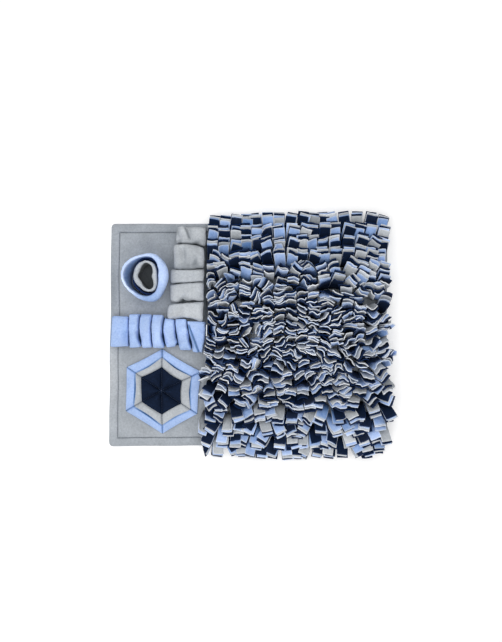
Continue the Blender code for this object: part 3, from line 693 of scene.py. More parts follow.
BLUE_FOLDS = (
    ((-211.0, 2.0), (-210.0, -16.0), -5.0, 9.0, 6.0),
    ((-226.0, 16.0), (-214.0, 21.0), -1.4, 5.0, 5.0),
    ((-190.5, 4.0), (-184.5, -9.0), -6.0, 3.4, 2.6),
    ((-163.5, -4.0), (-163.0, -16.0), -2.5, 3.0, 3.0),
    ((-148.0, 2.0), (-142.0, -13.0), -6.0, 3.4, 2.6),
    ((-125.0, 4.0), (-120.0, -13.0), -4.5, 3.0, 3.0),
    ((-103.5, 14.0), (-88.5, -27.0), 6.0, 2.0, 9.0),  # the last loop is folded over at its corner
    ((-104.5, 0.0), (-98.0, -18.0), -8.0, 4.0, 2.4),
    ((-98.0, 18.0), (-80.0, 10.0), -2.2, 4.0, 4.0),
    ((-170.0, 22.0), (-160.0, 10.0), 1.2, 4.0, 4.0),
)
LOOP_STRIPS = (  # (piece, node, slot, material, runs along x, seed, seams, loops, valleys, folds, painted light and shade, mm of cloth left flat along a seam, mm that a loop's corner is rounded off, painted shade at a seam)
    # mm of cloth left flat along a seam, mm that a loop's corner is rounded off, shade of the nap at a seam)
    ("grey_loops_cloth", "grey_loops", "light_grey", LIGHT_GREY, False, 3.0, GREY_LINES, GREY_LOOPS, GREY_GAPS,
     GREY_FOLDS, GREY_LIGHT_AND_SHADE, 4.2, 1.4, -0.6),
    ("blue_loops_cloth", "blue_loops", "light_blue", LIGHT_BLUE, True, 11.0, BLUE_LINES, BLUE_LOOPS, BLUE_GAPS,
     BLUE_FOLDS, BLUE_LIGHT_AND_SHADE, 4.5, 0.3, -0.8),
)
LOOP_STEPS, LOOP_ACROSS = 44, 44  # cells along one loop, and across the strip
FLAT_SHADE, DARKEST = -0.25, -0.8  # painted shade of the flat end of a strip, and the darkest that the painted shade gets
STEEP_FOLD = (4, 3.5)  # a fold this high, with a side this narrow, gets painted shade beside it, mm
print("loops:", len(GREY_LOOPS), "grey and", len(BLUE_LOOPS), "blue")


# %% Curves and folds of the loops
def bowed(ends, share):
    """A curve through three values at shares 0, 0.5 and 1."""
    first, middle, last = ends
    return first + (last - first) * share + (middle - (first + last) / 2) * 4 * share * (1 - share)


def smooth_through(values, shares):
    """Catmull-Rom curve through evenly spaced values."""
    values = np.array(values, float)
    place = np.clip(np.asarray(shares) * (len(values) - 1), 0, len(values) - 1 - 1e-9)
    i = np.floor(place).astype(int)
    t = place - i
    return catmull_rom(*(values[np.clip(i + k, 0, len(values) - 1)] for k in (-1, 0, 1, 2)), t)


def beside_fold(x, y, fold):
    """How far each place is to the left of a fold's line, and how far past its ends, in mm."""
    (x0, y0), (x1, y1) = fold[:2]
    length = math.hypot(x1 - x0, y1 - y0)
    ux, uy = (x1 - x0) / length, (y1 - y0) / length
    along = (x - x0) * ux + (y - y0) * uy
    return (x - x0) * -uy + (y - y0) * ux, np.maximum(np.maximum(-along, along - length), 0)


def folded(x, y, folds):
    """Height that the folds add at each place. A fold is steep on its narrow side."""
    total = np.zeros_like(x)
    for fold in folds:
        height, left, right = fold[2:]
        off, past = beside_fold(x, y, fold)
        total += height * np.exp(-((off / np.where(off > 0, left, right)) ** 2) - (past / 5) ** 2)
    return total


def fold_shade(x, y, folds):
    """Painted shade on the steep side of a deep fold."""
    total = np.zeros_like(x)
    for fold in folds:
        height, left, right = fold[2:]
        narrow, side = min(left, right), 1 if left < right else -1
        if height < STEEP_FOLD[0] or narrow > STEEP_FOLD[1]:
            continue
        off, past = beside_fold(x, y, fold)
        total -= 0.09 * height * np.exp(-(((off * side - 0.6 * narrow) / (0.55 * narrow)) ** 2) - (past / 3) ** 2)
    return total


steep = [fold for fold in GREY_FOLDS + BLUE_FOLDS if fold[2] >= STEEP_FOLD[0] and min(fold[3:]) <= STEEP_FOLD[1]]
print("steep folds, with pressed nap beside them:", len(steep))


# %% Make the loops
def build_loops(piece, material, runs_along_x, seed, lines, loops, gaps, folds, patches, flat, corner, seam_painted_shade):
    """One strip of loops as a grid: u runs along the strip from seam to seam, and v across it."""
    across = np.linspace(0, 1, LOOP_ACROSS + 1)
    across = across - 0.045 * np.sin(2 * math.pi * across)  # closer together at the cut edges
    to_edge = np.abs(across - 0.5) * 2

    def opened(line, after):
        """How much wider a valley is on this side of its line."""
        return sum((gap[4] if after else gap[3]) * bump_at(across, gap[1], gap[2]) for gap in gaps if gap[0] == line)

    sign = 1 if lines[-1][0] > lines[0][0] else -1
    first_near, first_far = (edge[0] for edge in loops[0][:2])
    # The end of the strip lies flat before its first seam.
    rows = [np.stack((bowed(lines[0], across) - sign * flat * 0.5, first_near + (first_far - first_near) * across,
                      np.zeros_like(across)), -1)]
    shades = [np.full_like(across, FLAT_SHADE)]
    for i, (near, far, height) in enumerate(loops):
        start = bowed(lines[i], across) + sign * (flat / 2 + opened(i, True))
        end = bowed(lines[i + 1], across) - sign * (flat / 2 + opened(i + 1, False))
        before, after = loops[max(i - 1, 0)], loops[min(i + 1, len(loops) - 1)]
        chance = 2.3 * i  # where this loop reads the noise
        for step in np.linspace(0, 1, LOOP_STEPS + 1):
            run_share, rise = smooth_through(LOOP_RUN, step), float(np.clip(smooth_through(LOOP_RISE, step), 0, 1))
            blend = eased(rise * 1.6)
            edges = []
            for side in (0, 1):
                own = bowed((near, far)[side], step)
                other = before[side][2] if step < 0.5 else after[side][0]
                edges.append((own * (1 + blend) + other * (1 - blend)) / 2)
            middle = (edges[0] + edges[1]) / 2
            tuck = 1 - 0.05 * (1 - eased(rise * 1.3))  # the seam draws the cloth in
            near_end = np.clip((0.2 - min(run_share, 1 - run_share)) / 0.2, 0, 1)
            rounded = corner * (1 - math.sqrt(1 - near_end**2 * 0.99))
            rounded = rounded * (0.8 + 0.4 * noise.noise(Vector((chance, seed, 4.0))))
            half_way = (edges[1] - edges[0]) / 2
            half_way *= 1 - rounded / abs(half_way)
            v = middle + half_way * (2 * across - 1) * tuck
            # The cut edges are not quite straight.
            v = v + 1.3 * noise.noise(Vector((chance + step * 1.7, seed, 0.0))) * to_edge**6
            u = start + (end - start) * run_share
            place = np.stack((u, v, np.full_like(u, i * 40.0)), -1) * MM
            dent = bumpy(place, 26 * MM, seed) * 0.09 + bumpy(place, 11 * MM, seed + 3) * 0.045
            droop = 0.22 * to_edge**8  # the cut edges hang a little
            creasing = 1.5 * bumpy(place * (0.3, 1, 1), 5.5 * MM, seed + 7) * rise * (1 - rise) * 4
            sideways = bumpy(place, 14 * MM, seed + 5) * 0.9 * rise
            x, y = (u, v) if runs_along_x else (v, u)
            raised = eased(rise * 1.5)
            added = folded(x, y, folds) * raised
            high = height * rise * (1 + dent * rise * 1.6 - droop * rise) + creasing * 0.5 * rise + added
            rows.append(np.stack((u + sign * creasing * 0.45, v + sideways, high), -1))
            # Painted shade darkens the cloth low beside each seam and on the steep side of deep folds, less so at the
            # two ends of the strip; the patches add painted light and shade.
            open_side = (i == 0 and step < 0.5) or (i == len(loops) - 1 and step > 0.5)
            by_seam = seam_painted_shade * (0.25 if open_side else 1.0) * (1 - eased((rise - 0.2) / 0.7))
            shades.append(by_seam + (fold_shade(x, y, folds) + patches_at(patches, x, y)) * raised)
    grid = np.array(rows)
    grid[..., 2] = np.maximum(grid[..., 2], 0) + (REST_Z + SHEET / 2) / MM
    steps = np.linalg.norm(np.diff(grid, axis=0), axis=2).mean(1)
    along = np.concatenate(([0], np.cumsum(steps)))
    wide = abs(loops[0][1][0] - loops[0][0][0])
    uv = np.stack(np.broadcast_arrays(along[:, None], wide * across[None, :]), -1) * MM
    if not runs_along_x:
        grid = grid[..., (1, 0, 2)]
    shade = np.maximum(np.concatenate(shades), DARKEST)
    strip = mesh_of(piece, grid * MM, grid_faces(*grid.shape[:2]), uv, {"shade": shade})
    add_thickness(strip, SHEET)
    fix_normals(strip)
    strip.data.materials.append(material)
    print(piece, triangles(strip), "triangles, cut length mm:", round(float(along[-1])))
    return strip, float(along[-1]) * MM


loop_strips, cut_lengths = [], []
for piece, node, slot, material, *given in LOOP_STRIPS:
    strip, cut_length = build_loops(piece, material, *given)
    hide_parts(node)
    loop_strips.append(strip)
    cut_lengths.append(cut_length)

# %% [markdown]
# ## The pocket flower
#
# Three six-sided sheets lie on each other, and six seams through all of them run from the middle to the corners.
# Between two seams each sheet is free, so food slides in at its side, and its edge stands a little proud. A flat
# polygon would lose this. So each layer is a round grid whose height sinks at the seams and rises between them.

# %% Flower tables
FLOWER_CENTRE = (-151.4, -96.2)
SEAM_ANGLES = (89.6, 147, 210, 270.6, 326, 385)
FLOWER = (  # (piece, node, radius at each seam, how far each edge bows in, material, slot)
    ("flower_large_cloth", "flower_large", (71.6, 73.2, 72.6, 75.6, 74.0, 75.2), 1.0, LIGHT_BLUE, "light_blue"),
    ("flower_medium_cloth", "flower_medium", (56.9, 54.0, 55.0, 60.2, 60.1, 56.3), 2.6, LIGHT_GREY, "light_grey"),
    ("flower_small_cloth", "flower_small", (40.5, 42.2, 39.4, 41.6, 40.7, 39.1), 1.0, NAVY, "navy"),
)
PETAL_LIFTS = (2.6, 4.6, 6.0)  # how high the free edge of each layer stands, mm
LIFT_OVER = 12.0  # mm from the middle over which it comes up
# Painted shadow in the mouth of each side's pocket: how dark it is, and how many mm out from the edge above it
MOUTH_SHADOW = ((0.6, 1.3), (0.9, 2.1), (1.0, 2.1), (0.4, 1.4), (0.8, 0.7), (1.0, 0.6))
MOUTH_SHADES = (0.85, 0.35, 0.0)  # of each layer
PETAL_STEPS = 26  # from one seam to the next
# The rings are close together where the edge of the layer above crosses them.
PETAL_RINGS = np.concatenate((np.linspace(0.02, 0.62, 12), np.linspace(0.64, 0.90, 30), (0.94, 0.97, 0.99, 1.0)))
LAYER_GAP = 0.3  # mm
print("layers:", len(FLOWER), "of", len(SEAM_ANGLES), "pockets")


# %% Make the flower
def sector_edge(radii, sector, turn):
    """Radius of the straight line between two corners, at this turn past the first."""
    after = (sector + 1) % 6
    wide = math.radians((SEAM_ANGLES[after] - SEAM_ANGLES[sector]) % 360)
    a, b = radii[sector], radii[after]
    return a * b * math.sin(wide) / np.maximum(a * np.sin(turn) + b * np.sin(wide - turn), 1e-9)


def build_petals(piece, layer, radii, bow, material):
    """One layer of the flower, and the stitches that show on it."""
    turns, edges, mids, from_seams, covers, mouths = [], [], [], [], [], []
    above_radii, above_bow = FLOWER[layer + 1][2:4] if layer < 2 else ((0.0,) * 6, 0.0)
    for sector in range(6):
        wide = math.radians((SEAM_ANGLES[(sector + 1) % 6] - SEAM_ANGLES[sector]) % 360)
        share = np.arange(PETAL_STEPS) / PETAL_STEPS
        share = share - 0.09 * np.sin(2 * math.pi * share)  # closer together at the seams
        turn = wide * share
        mid = np.sin(math.pi * share)  # 0 at the two seams, 1 halfway between them
        dark, out = MOUTH_SHADOW[sector]
        turns.append(math.radians(SEAM_ANGLES[sector]) + turn)
        edges.append(sector_edge(radii, sector, turn) - bow * mid)
        mids.append(mid)
        covers.append(sector_edge(above_radii, sector, turn) - above_bow * mid + out)
        mouths.append(dark * mid**0.6)
        from_seams.append(np.minimum(turn, wide - turn))
    turn, edge, mid, from_seam, cover, mouth = (
        np.concatenate(part)[:, None] for part in (turns, edges, mids, from_seams, covers, mouths))
    ring = PETAL_RINGS[None, :]
    radius = edge * ring
    lift = PETAL_LIFTS[layer] * mid * eased(radius / LIFT_OVER)
    away = radius * np.sin(from_seam)
    trough = 2.1 * bump_at(away, 0, 1.5) * eased(radius / 6)
    puff = 0.9 * (1 - np.exp(-((away / 6) ** 2))) * (1 - ring**6)
    place = np.stack((np.cos(turn) * radius, np.sin(turn) * radius, np.full_like(radius, layer * 30.0)), -1) * MM
    crumple = 0.6 * bumpy(place, 16 * MM, layer * 3.0) * (1 - bump_at(away, 0, 4))
    roll = 0.9 * np.exp(-(((ring - 1) * edge / 1.8) ** 2))
    z = REST_Z / MM + layer * (SHEET / MM + LAYER_GAP) + SHEET / MM / 2 + lift
    top = z + SHEET / MM / 2 + puff + crumple * 0.6 - trough - roll
    base = z - SHEET / MM / 2 + roll * 0.9
    x, y = FLOWER_CENTRE[0] + np.cos(turn) * radius, FLOWER_CENTRE[1] + np.sin(turn) * radius
    upper, lower = np.stack((x, y, top), -1), np.stack((x, y, np.minimum(base, top - 0.6)), -1)
    rows, columns = upper.shape[:2]
    points = np.concatenate((upper.reshape(-1, 3), lower.reshape(-1, 3)))
    count = rows * columns
    middle_top = (*FLOWER_CENTRE, float(top[:, 0].mean()))
    middle_low = (*FLOWER_CENTRE, float(lower[:, 0, 2].mean()))
    points = np.concatenate((points, [middle_top, middle_low])) * MM
    quads = grid_faces(rows, columns, wrap_rows=True)
    first, last = np.arange(rows) * columns, np.arange(rows) * columns + columns - 1
    rim = np.stack((last, last + count, np.roll(last, -1) + count, np.roll(last, -1)), 1)
    faces = [*quads, *(quads[:, ::-1] + count), *rim]
    faces += [(2 * count, a, b) for a, b in zip(first, np.roll(first, -1))]
    faces += [(2 * count + 1, b + count, a + count) for a, b in zip(first, np.roll(first, -1))]
    pressed_and_shaded = np.zeros(len(points))
    # Painted shade in each seam's trough, where the nap is also pressed, and painted shadow in the mouth of each
    # pocket.
    in_mouth = MOUTH_SHADES[layer] * mouth * bump_at(radius, cover, 1.4)
    pressed_and_shaded[:count] = np.maximum(-0.45 * bump_at(away, 0, 1.1) - in_mouth, -0.85).ravel()
    petals = mesh_of(piece, points, faces, values={"shade": pressed_and_shaded})
    fix_normals(petals)
    petals.data.materials.append(material)
    seams = []
    for sector in range(6):  # the part of each seam that the layer above leaves bare
        line = upper[sector * PETAL_STEPS]
        out = np.hypot(line[:, 0] - FLOWER_CENTRE[0], line[:, 1] - FLOWER_CENTRE[1])
        covered = FLOWER[layer + 1][2][sector] if layer < 2 else 0.0
        bare = np.linspace(covered + 0.6, radii[sector] - 0.8, 24)
        seams.append(np.stack([np.interp(bare, out, line[:, k]) for k in range(3)], 1) + (0, 0, 0.3))
    return petals, seams


flower, flower_seams = [], []
for layer, (piece, node, radii, bow, material, slot) in enumerate(FLOWER):
    petals, seams = build_petals(piece, layer, radii, bow, material)
    flower_seams += seams
    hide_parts(node)
    flower.append(petals)
flower_stitches = sew("flower_stitches", flower_seams, FLOWER_THREAD, 9)
print("flower:", [(p.name, triangles(p)) for p in (*flower, flower_stitches)])

# %% [markdown]
# ## The field of strips
#
# The strips are sewn on in rows, folded in half, so each seam holds a bundle of four free ends side by side. In
# the middle of the field they stand up and show their cut edges. Towards the rim nothing holds them, so they
# lean out over each other and show their faces.
#
# Copies of one strip would all look alike. So each gets values of its own: where it is sewn, how it leans, turns,
# twists and waves, and its dye. Smooth noise makes neighbours behave alike, and fixed seeds keep the result.

# %% Where each strip is sewn, and how it hangs
STRIP_WIDTH, STRIP_THICK = 18.4, 1.6  # mm
COLUMNS, ROWS, BUNDLE = 16, 20, 4
FIRST_ROW = ((-79, -174.0), (-30, -173.0), (0, -174.0), (40, -177.0), (180, -175.5), (232, -168.0))  # (x, y) mm
LAST_ROW = ((-79, 169.0), (-20, 170.0), (30, 173.5), (130, 174.5), (200, 176.5), (232, 168.0))
# The two sides of the field, as (y, x) in mm
FIELD_LEFT = ((-189, -75.0), (-40, -78.0), (-22, -74.5), (34, -71.4), (160, -70.8), (180, -70.0), (189, -70.0))
FIELD_RIGHT = ((-189, 230.0), (-150, 232.0), (150, 233.0), (189, 231.0))
LENGTH = 44.0  # mm from seam to tip
SEWN_APART = 1.4  # mm between the layers of one bundle at its seam
BRICKS = 0.22  # how far every other row is shifted at the front, as a share of the pitch
PARTING = (4, 22)  # mm: where the field parts, and how far the parting wanders
UPRIGHT, FLAT_OVER = 52, 112  # mm from the middle row to where strips begin to lie down, and over which they do
RIGHT_EDGE, EDGE_OVER = 165, 60  # mm: where strips begin to turn outwards on the right, and over which they do
STAND, LIE, OUTERMOST = 7, 43, 12  # degrees of lean in the middle, added where rows lie flat, and in the last row
LIGHT_BLUE_DYE, LIGHT_GREY_DYE, NAVY_DYE = range(3)
draw, pick = np.random.default_rng(7), np.random.default_rng(11)
print("strips to sew:", ROWS * COLUMNS * BUNDLE)


# %% Plan every strip
def patch(x, y, size, seed):
    """Smooth noise over the field, from about -1 to 1, so that neighbours behave alike."""
    return 1.8 * noise.noise(Vector((x / size, y / size, seed)))


def pick_dyes(row, beside, above):
    """The dyes of one bundle, the top layer first. Neighbours seldom show the same dye."""
    dyes = draw.permutation(3)
    for _ in range(2):
        if dyes[0] in (beside, above):
            dyes = draw.permutation(3)
    shown = dyes[0]
    if shown != NAVY_DYE and pick.random() < (0.20 if row > ROWS - 6 else 0.06):
        # Navy shows most where the rows lie flat at the back.
        dyes = [NAVY_DYE] + [dye for dye in dyes if dye != NAVY_DYE]
    lowest = NAVY_DYE if dyes[2] != NAVY_DYE and draw.random() < 0.7 else dyes[0]
    return (*dyes, lowest), shown


def strip_plan():
    """One row of values for every strip."""
    plan, above = [], [None] * COLUMNS
    for row in range(ROWS):
        share = row / (ROWS - 1)
        level = -175 + 345 * share
        left, right_end = table_at(FIELD_LEFT, level), table_at(FIELD_RIGHT, level)
        pitch = (right_end - left) / COLUMNS
        offset = (BRICKS if row % 2 else -BRICKS) * pitch * float(eased(-level / 40))
        beside = None
        for column in range(COLUMNS):
            x = left + pitch * (column + 0.5) + offset + draw.normal(0, 0.9)
            first, last = table_at(FIRST_ROW, x), table_at(LAST_ROW, x)
            y = first + (last - first) * share
            # Which way it leans: away from the parting, but for a few near it
            middle = PARTING[0] + PARTING[1] * patch(x, y, 60, 9.0)
            side = 1 if y > middle else -1
            if draw.random() < (0.30 if abs(y - middle) < 34 else 0.05 if abs(y - middle) < 90 else 0.0):
                side = -side
            # How far it has lain down, how neat it is, and how near it is to the right side and to the last row
            flop = float(eased((abs(y) - UPRIGHT) / FLAT_OVER))
            calm = flop if y > 0 else 0.7 * flop
            right = float(eased((x - RIGHT_EDGE) / EDGE_OVER))
            outer = 1.0 if row in (0, ROWS - 1) else 0.3 if row in (1, ROWS - 2) else 0.0
            lean = STAND + LIE * flop + 11 * patch(x, y, 60, 1.0) * (1 - 0.8 * calm)
            lean = lean + draw.normal(0, 8 - 5.5 * calm)
            lean = max(lean, 24 * right) + OUTERMOST * outer
            turn = -side * right * (12 + 22 * (1 - flop))
            stray = (32 * patch(x, y, 48, 5.0) + 30 * patch(x, y, 27, 3.0)) * (1 - calm) + 5 * patch(x, y, 60, 5.0)
            turn += (stray + draw.normal(0, 12 - 8 * calm)) * (1 - 0.55 * right)
            if column < 2 and y < -55:  # the front left corner spreads over the mat
                turn += side * (16 - 8 * column)
            length = LENGTH - 5.0 * outer + draw.normal(0, 1.6 - 0.8 * calm)
            dyes, beside = pick_dyes(row, beside, above[column])
            above[column] = beside
            fan = 7.5 * (1 - flop) + 0.8
            flopped = draw.random() < 0.16 * (1 - flop)
            twist = (26 * patch(x, y, 40, 12.0) + draw.normal(0, 14)) * (1 - 0.85 * calm)
            wave = (3.0 + draw.normal(0, 1.2)) * (1 - 0.78 * flop)
            phase, pace = draw.uniform(0, 2 * math.pi), draw.uniform(150, 330)
            shade = -0.05 - (0.12 if y > 0 else 0.0) * flop
            for layer in range(BUNDLE):
                order = layer - (BUNDLE - 1) / 2
                fallen = 45 if flopped and layer == 0 else 0
                # Layer 0 lies lowest: it is sewn furthest out, leans furthest, and its tip shows past the others.
                plan.append({
                    "x": x + draw.normal(0, 0.6), "y": y - side * order * SEWN_APART, "side": side,
                    "lean": lean - order * fan - draw.normal(0, 1.8 - 1.0 * calm) + fallen,
                    "bend": 18 + 26 * flop + draw.normal(0, 7 - 4 * calm),
                    "turn": turn + draw.normal(0, 2.5 - calm), "twist": twist + draw.normal(0, 4.0 - 2 * calm),
                    "length": length + draw.normal(0, 1.3 - 0.6 * calm) - 0.15 * order * flop,
                    "wave": wave + draw.normal(0, 0.4), "phase": phase + draw.normal(0, 0.35), "pace": pace,
                    "dye": int(dyes[BUNDLE - 1 - layer]), "shade": float(draw.normal(shade, 0.10)),
                })
    return plan


plan = strip_plan()
print("strips:", len(plan), "in", ROWS, "rows of", COLUMNS, "bundles")

# %% [markdown]
# One strip is a small grid. Geometry Nodes put a copy on the root of every strip and bend it: the strip's angle
# from upright changes evenly from root to tip, so it follows an arc, and sines and cosines give its points.
# The plan's values are stored on the roots by name, and the nodes read them from there.

# %% The formula of a bent strip
CELLS_ACROSS, CELLS_ALONG = 4, 7  # coarse: the strips are settled first and refined after
FORMULA = (  # (result, operation, terms): angles are in radians from upright
    ("s", "MULTIPLY", "along", "length"),
    ("turned", "SUBTRACT", "lean_tip", "lean_root"),
    ("bending", "DIVIDE", "turned", "length"),
    ("bent_by", "MULTIPLY", "bending", "s"),
    ("angle", "ADD", "lean_root", "bent_by"),
    ("sin_angle", "SINE", "angle"),
    ("cos_angle", "COSINE", "angle"),
    ("sin_root", "SINE", "lean_root"),
    ("cos_root", "COSINE", "lean_root"),
    ("out_by", "SUBTRACT", "cos_root", "cos_angle"),
    ("out", "DIVIDE", "out_by", "bending"),
    ("up_by", "SUBTRACT", "sin_angle", "sin_root"),
    ("up", "DIVIDE", "up_by", "bending"),
    ("wave_place", "MULTIPLY", "across", "pace"),
    ("wave_angle", "ADD", "wave_place", "phase"),
    ("wave_shape", "SINE", "wave_angle"),
    ("wave_size", "MULTIPLY", "wave", "along"),
    ("ripple", "MULTIPLY", "wave_shape", "wave_size"),
    ("ripple_out", "MULTIPLY", "ripple", "cos_angle"),
    ("ripple_down", "MULTIPLY", "ripple", "sin_angle"),
    ("far", "ADD", "out", "ripple_out"),
    ("high", "SUBTRACT", "up", "ripple_down"),
    ("twisted", "MULTIPLY", "twist", "along"),
    ("facing", "ADD", "turn", "twisted"),
    ("sin_face", "SINE", "facing"),
    ("cos_face", "COSINE", "facing"),
    ("side_x", "MULTIPLY", "across", "cos_face"),
    ("side_y", "MULTIPLY", "across", "sin_face"),
    ("lean_x", "MULTIPLY", "far", "sin_face"),
    ("lean_y", "MULTIPLY", "far", "cos_face"),
    ("dx", "SUBTRACT", "side_x", "lean_x"),
    ("dy", "ADD", "side_y", "lean_y"),
)
print("steps in the formula:", len(FORMULA))


# %% Bend the strips with Geometry Nodes
def strips_tree():
    """Puts a grid on every root and bends it by the formula above."""
    tree, given = geometry_tree("strips", (
        ("Roots", "Geometry", None), ("Width", "Float", STRIP_WIDTH * MM), ("Cells across", "Int", CELLS_ACROSS),
        ("Cells along", "Int", CELLS_ALONG), ("Material", "Material", None)), "Strips")
    columns = add_node(tree, "ShaderNodeMath", {"operation": "ADD"}, {0: given["Cells across"], 1: 1.0})
    rows = add_node(tree, "ShaderNodeMath", {"operation": "ADD"}, {0: given["Cells along"], 1: 1.0})
    grid = add_node(tree, "GeometryNodeMeshGrid", None, {
        "Size X": given["Width"], "Size Y": 1.0, "Vertices X": columns.outputs[0], "Vertices Y": rows.outputs[0]})
    position = add_node(tree, "GeometryNodeInputPosition").outputs[0]
    at = add_node(tree, "ShaderNodeSeparateXYZ", None, {0: position}).outputs
    along = add_node(tree, "ShaderNodeMath", {"operation": "ADD"}, {0: at["Y"], 1: 0.5})
    marked = add_node(tree, "GeometryNodeStoreNamedAttribute", {"data_type": "FLOAT", "domain": "POINT"}, {
        "Geometry": grid.outputs["Mesh"], "Name": "across", "Value": at["X"]})
    marked = add_node(tree, "GeometryNodeStoreNamedAttribute", {"data_type": "FLOAT", "domain": "POINT"}, {
        "Geometry": marked.outputs[0], "Name": "along", "Value": along.outputs[0]})
    rooted = add_node(tree, "GeometryNodeStoreNamedAttribute", {"data_type": "FLOAT_VECTOR", "domain": "POINT"}, {
        "Geometry": given["Roots"], "Name": "root", "Value": position})
    copies = add_node(tree, "GeometryNodeInstanceOnPoints", None, {
        "Points": rooted.outputs[0], "Instance": marked.outputs[0]})
    real = add_node(tree, "GeometryNodeRealizeInstances", None, {"Geometry": copies.outputs[0]})
    terms = {}
    for name in ("across", "along", "length", "lean_root", "lean_tip", "wave", "pace", "phase", "twist", "turn"):
        terms[name] = add_node(
            tree, "GeometryNodeInputNamedAttribute", {"data_type": "FLOAT"}, {"Name": name}).outputs["Attribute"]
    for result, operation, *names in FORMULA:
        step = add_node(tree, "ShaderNodeMath", {"operation": operation}, {i: terms[n] for i, n in enumerate(names)})
        terms[result] = step.outputs[0]
    root = add_node(tree, "GeometryNodeInputNamedAttribute", {"data_type": "FLOAT_VECTOR"}, {"Name": "root"})
    moved = add_node(tree, "ShaderNodeCombineXYZ", None, {"X": terms["dx"], "Y": terms["dy"], "Z": terms["high"]})
    place = add_node(tree, "ShaderNodeVectorMath", {"operation": "ADD"}, {
        0: root.outputs["Attribute"], 1: moved.outputs[0]})
    bent = add_node(tree, "GeometryNodeSetPosition", None, {
        "Geometry": real.outputs[0], "Position": place.outputs[0]})
    dressed = add_node(tree, "GeometryNodeSetMaterial", None, {
        "Geometry": bent.outputs[0], "Material": given["Material"]})
    add_node(tree, "NodeGroupOutput", None, {"Strips": dressed.outputs[0]})
    return tree


def bend_strips(plan):
    """The points of every strip, as (strip, along, across, xyz) in mm."""
    every = {key: np.array([strip[key] for strip in plan], float) for key in plan[0]}
    lean, bend = np.radians(every["lean"]), np.radians(every["bend"])
    values = {
        "length": every["length"] * MM,
        "lean_root": every["side"] * (lean - bend * 0.8),
        "lean_tip": every["side"] * (lean + bend * 0.6),
        "wave": every["wave"] * MM,
        "phase": every["phase"],
        "pace": every["pace"],
        "twist": np.radians(every["twist"]),
        "turn": np.radians(every["turn"]),
    }
    roots = np.stack((every["x"] * MM, every["y"] * MM, np.full(len(plan), REST_Z + 0.2 * MM)), 1)
    holder = mesh_of("strip_roots", roots, [], values=values)
    grow(holder, strips_tree(), {"Width": STRIP_WIDTH * MM, "Material": NAVY})
    points = np.empty(len(holder.data.vertices) * 3, np.float32)
    holder.data.vertices.foreach_get("co", points)
    bpy.data.objects.remove(holder)
    # The grid node stores its points column by column.
    shape = (len(plan), CELLS_ACROSS + 1, CELLS_ALONG + 1, 3)
    return np.swapaxes(points.reshape(shape), 1, 2).astype(float) / MM


strips = bend_strips(plan)
print("bent:", strips.shape, "highest mm:", round(float(strips[..., 2].max()), 1))

# %% [markdown]
# Formulas know nothing of neighbours, so bent strips cut through each other. On the real thing they push each
# other aside. Blender's cloth could find that, but over a thousand pieces that all touch would take far too long.
#
# So a small solver does it, in the way that cloth solvers work. Each grid point is moved until no thread is
# longer or shorter than it was cut, and no point lies on the wrong side of another strip. The order in which two
# strips are sewn says which side is right, so they can't get stuck in each other.

# %% What the strips can't pass through
MAT_CLEAR = 0.35  # mm between the mat's top and a strip that lies on it
WALL_PUSH = 0.85  # how much of the way back to the wall a point is moved at each step
GIVE = 1.5  # mm above the mat where it begins to push back
# Where the pieces beside the field begin, as (y, x) in mm
LEFT_WALL = ((-205, -76.0), (-188, -80.0), (-165, -87.0), (-60, -87.0), (-40, -79.0), (-20, -75.0), (-10, -72.0),
             (30, -70.5), (36, -71.4), (165, -71.2), (180, -70.6), (190, -70.6))


def keep_clear(points, half):
    """Lifts points off the table and the mat, and keeps them right of the pieces beside the field."""
    x, y, z = (points[..., k] for k in range(3))
    x += np.maximum(table_at(LEFT_WALL, y) + half - x, 0) * WALL_PUSH
    inside_x = MAT_WIDTH / MM / 2 + 1.5 - np.abs(x)
    inside_y = MAT_DEPTH / MM / 2 + 1.5 - np.abs(y)
    on_mat = eased(np.minimum(inside_x, inside_y) / 5 + 0.5)
    floor = half + (MAT_TOP / MM + MAT_CLEAR) * on_mat
    low = z - floor
    z[:] = floor + np.where(low > GIVE, low, GIVE * np.exp(np.minimum(low / GIVE - 1, 0)))
    return points


# %% The solver's parts
CONTACT = 2.15  # mm between the middles of two strips that touch
SEARCH = 6.0  # mm within which points of two strips may come to touch
SETTLE_STEPS, SEARCH_EVERY, TELL_EVERY = 90, 5, 15
FALL = 0.035  # mm that gravity adds at each step
MOST_PUSH, PUSH = 1.2, 1.1  # mm that one contact may push at a step, and how strongly all of them do


def directions(grid):
    """Unit vectors across, along and out of each grid point."""
    across, along = np.gradient(grid, axis=2), np.gradient(grid, axis=1)
    out = np.cross(along, across)
    return [v / np.maximum(np.linalg.norm(v, axis=-1, keepdims=True), 1e-9) for v in (across, along, out)]


def close_pairs(points, strip_of):
    """Pairs of points on different strips within the search distance, found through a lattice of cells."""
    cell = np.floor((points - points.min(0)) / SEARCH).astype(np.int64) + 1
    size = cell.max(0) + 2
    code = (cell[:, 0] * size[1] + cell[:, 1]) * size[2] + cell[:, 2]
    order = np.argsort(code, kind="stable")
    ranked = code[order]
    firsts, seconds = [], []
    for dx in (-1, 0, 1):
        for dy in (-1, 0, 1):
            shift = (dx * size[1] + dy) * size[2]
            low = np.searchsorted(ranked, code + shift - 1, "left")
            high = np.searchsorted(ranked, code + shift + 1, "right")
            many = high - low
            first = np.repeat(np.arange(len(points)), many)
            step = np.arange(many.sum()) - np.repeat(np.cumsum(many) - many, many)
            second = order[np.repeat(low, many) + step]
            good = strip_of[first] != strip_of[second]
            first, second = first[good], second[good]
            near = np.abs(points[first] - points[second]).max(1) < SEARCH
            firsts.append(first[near])
            seconds.append(second[near])
    return np.concatenate(firsts), np.concatenate(seconds)


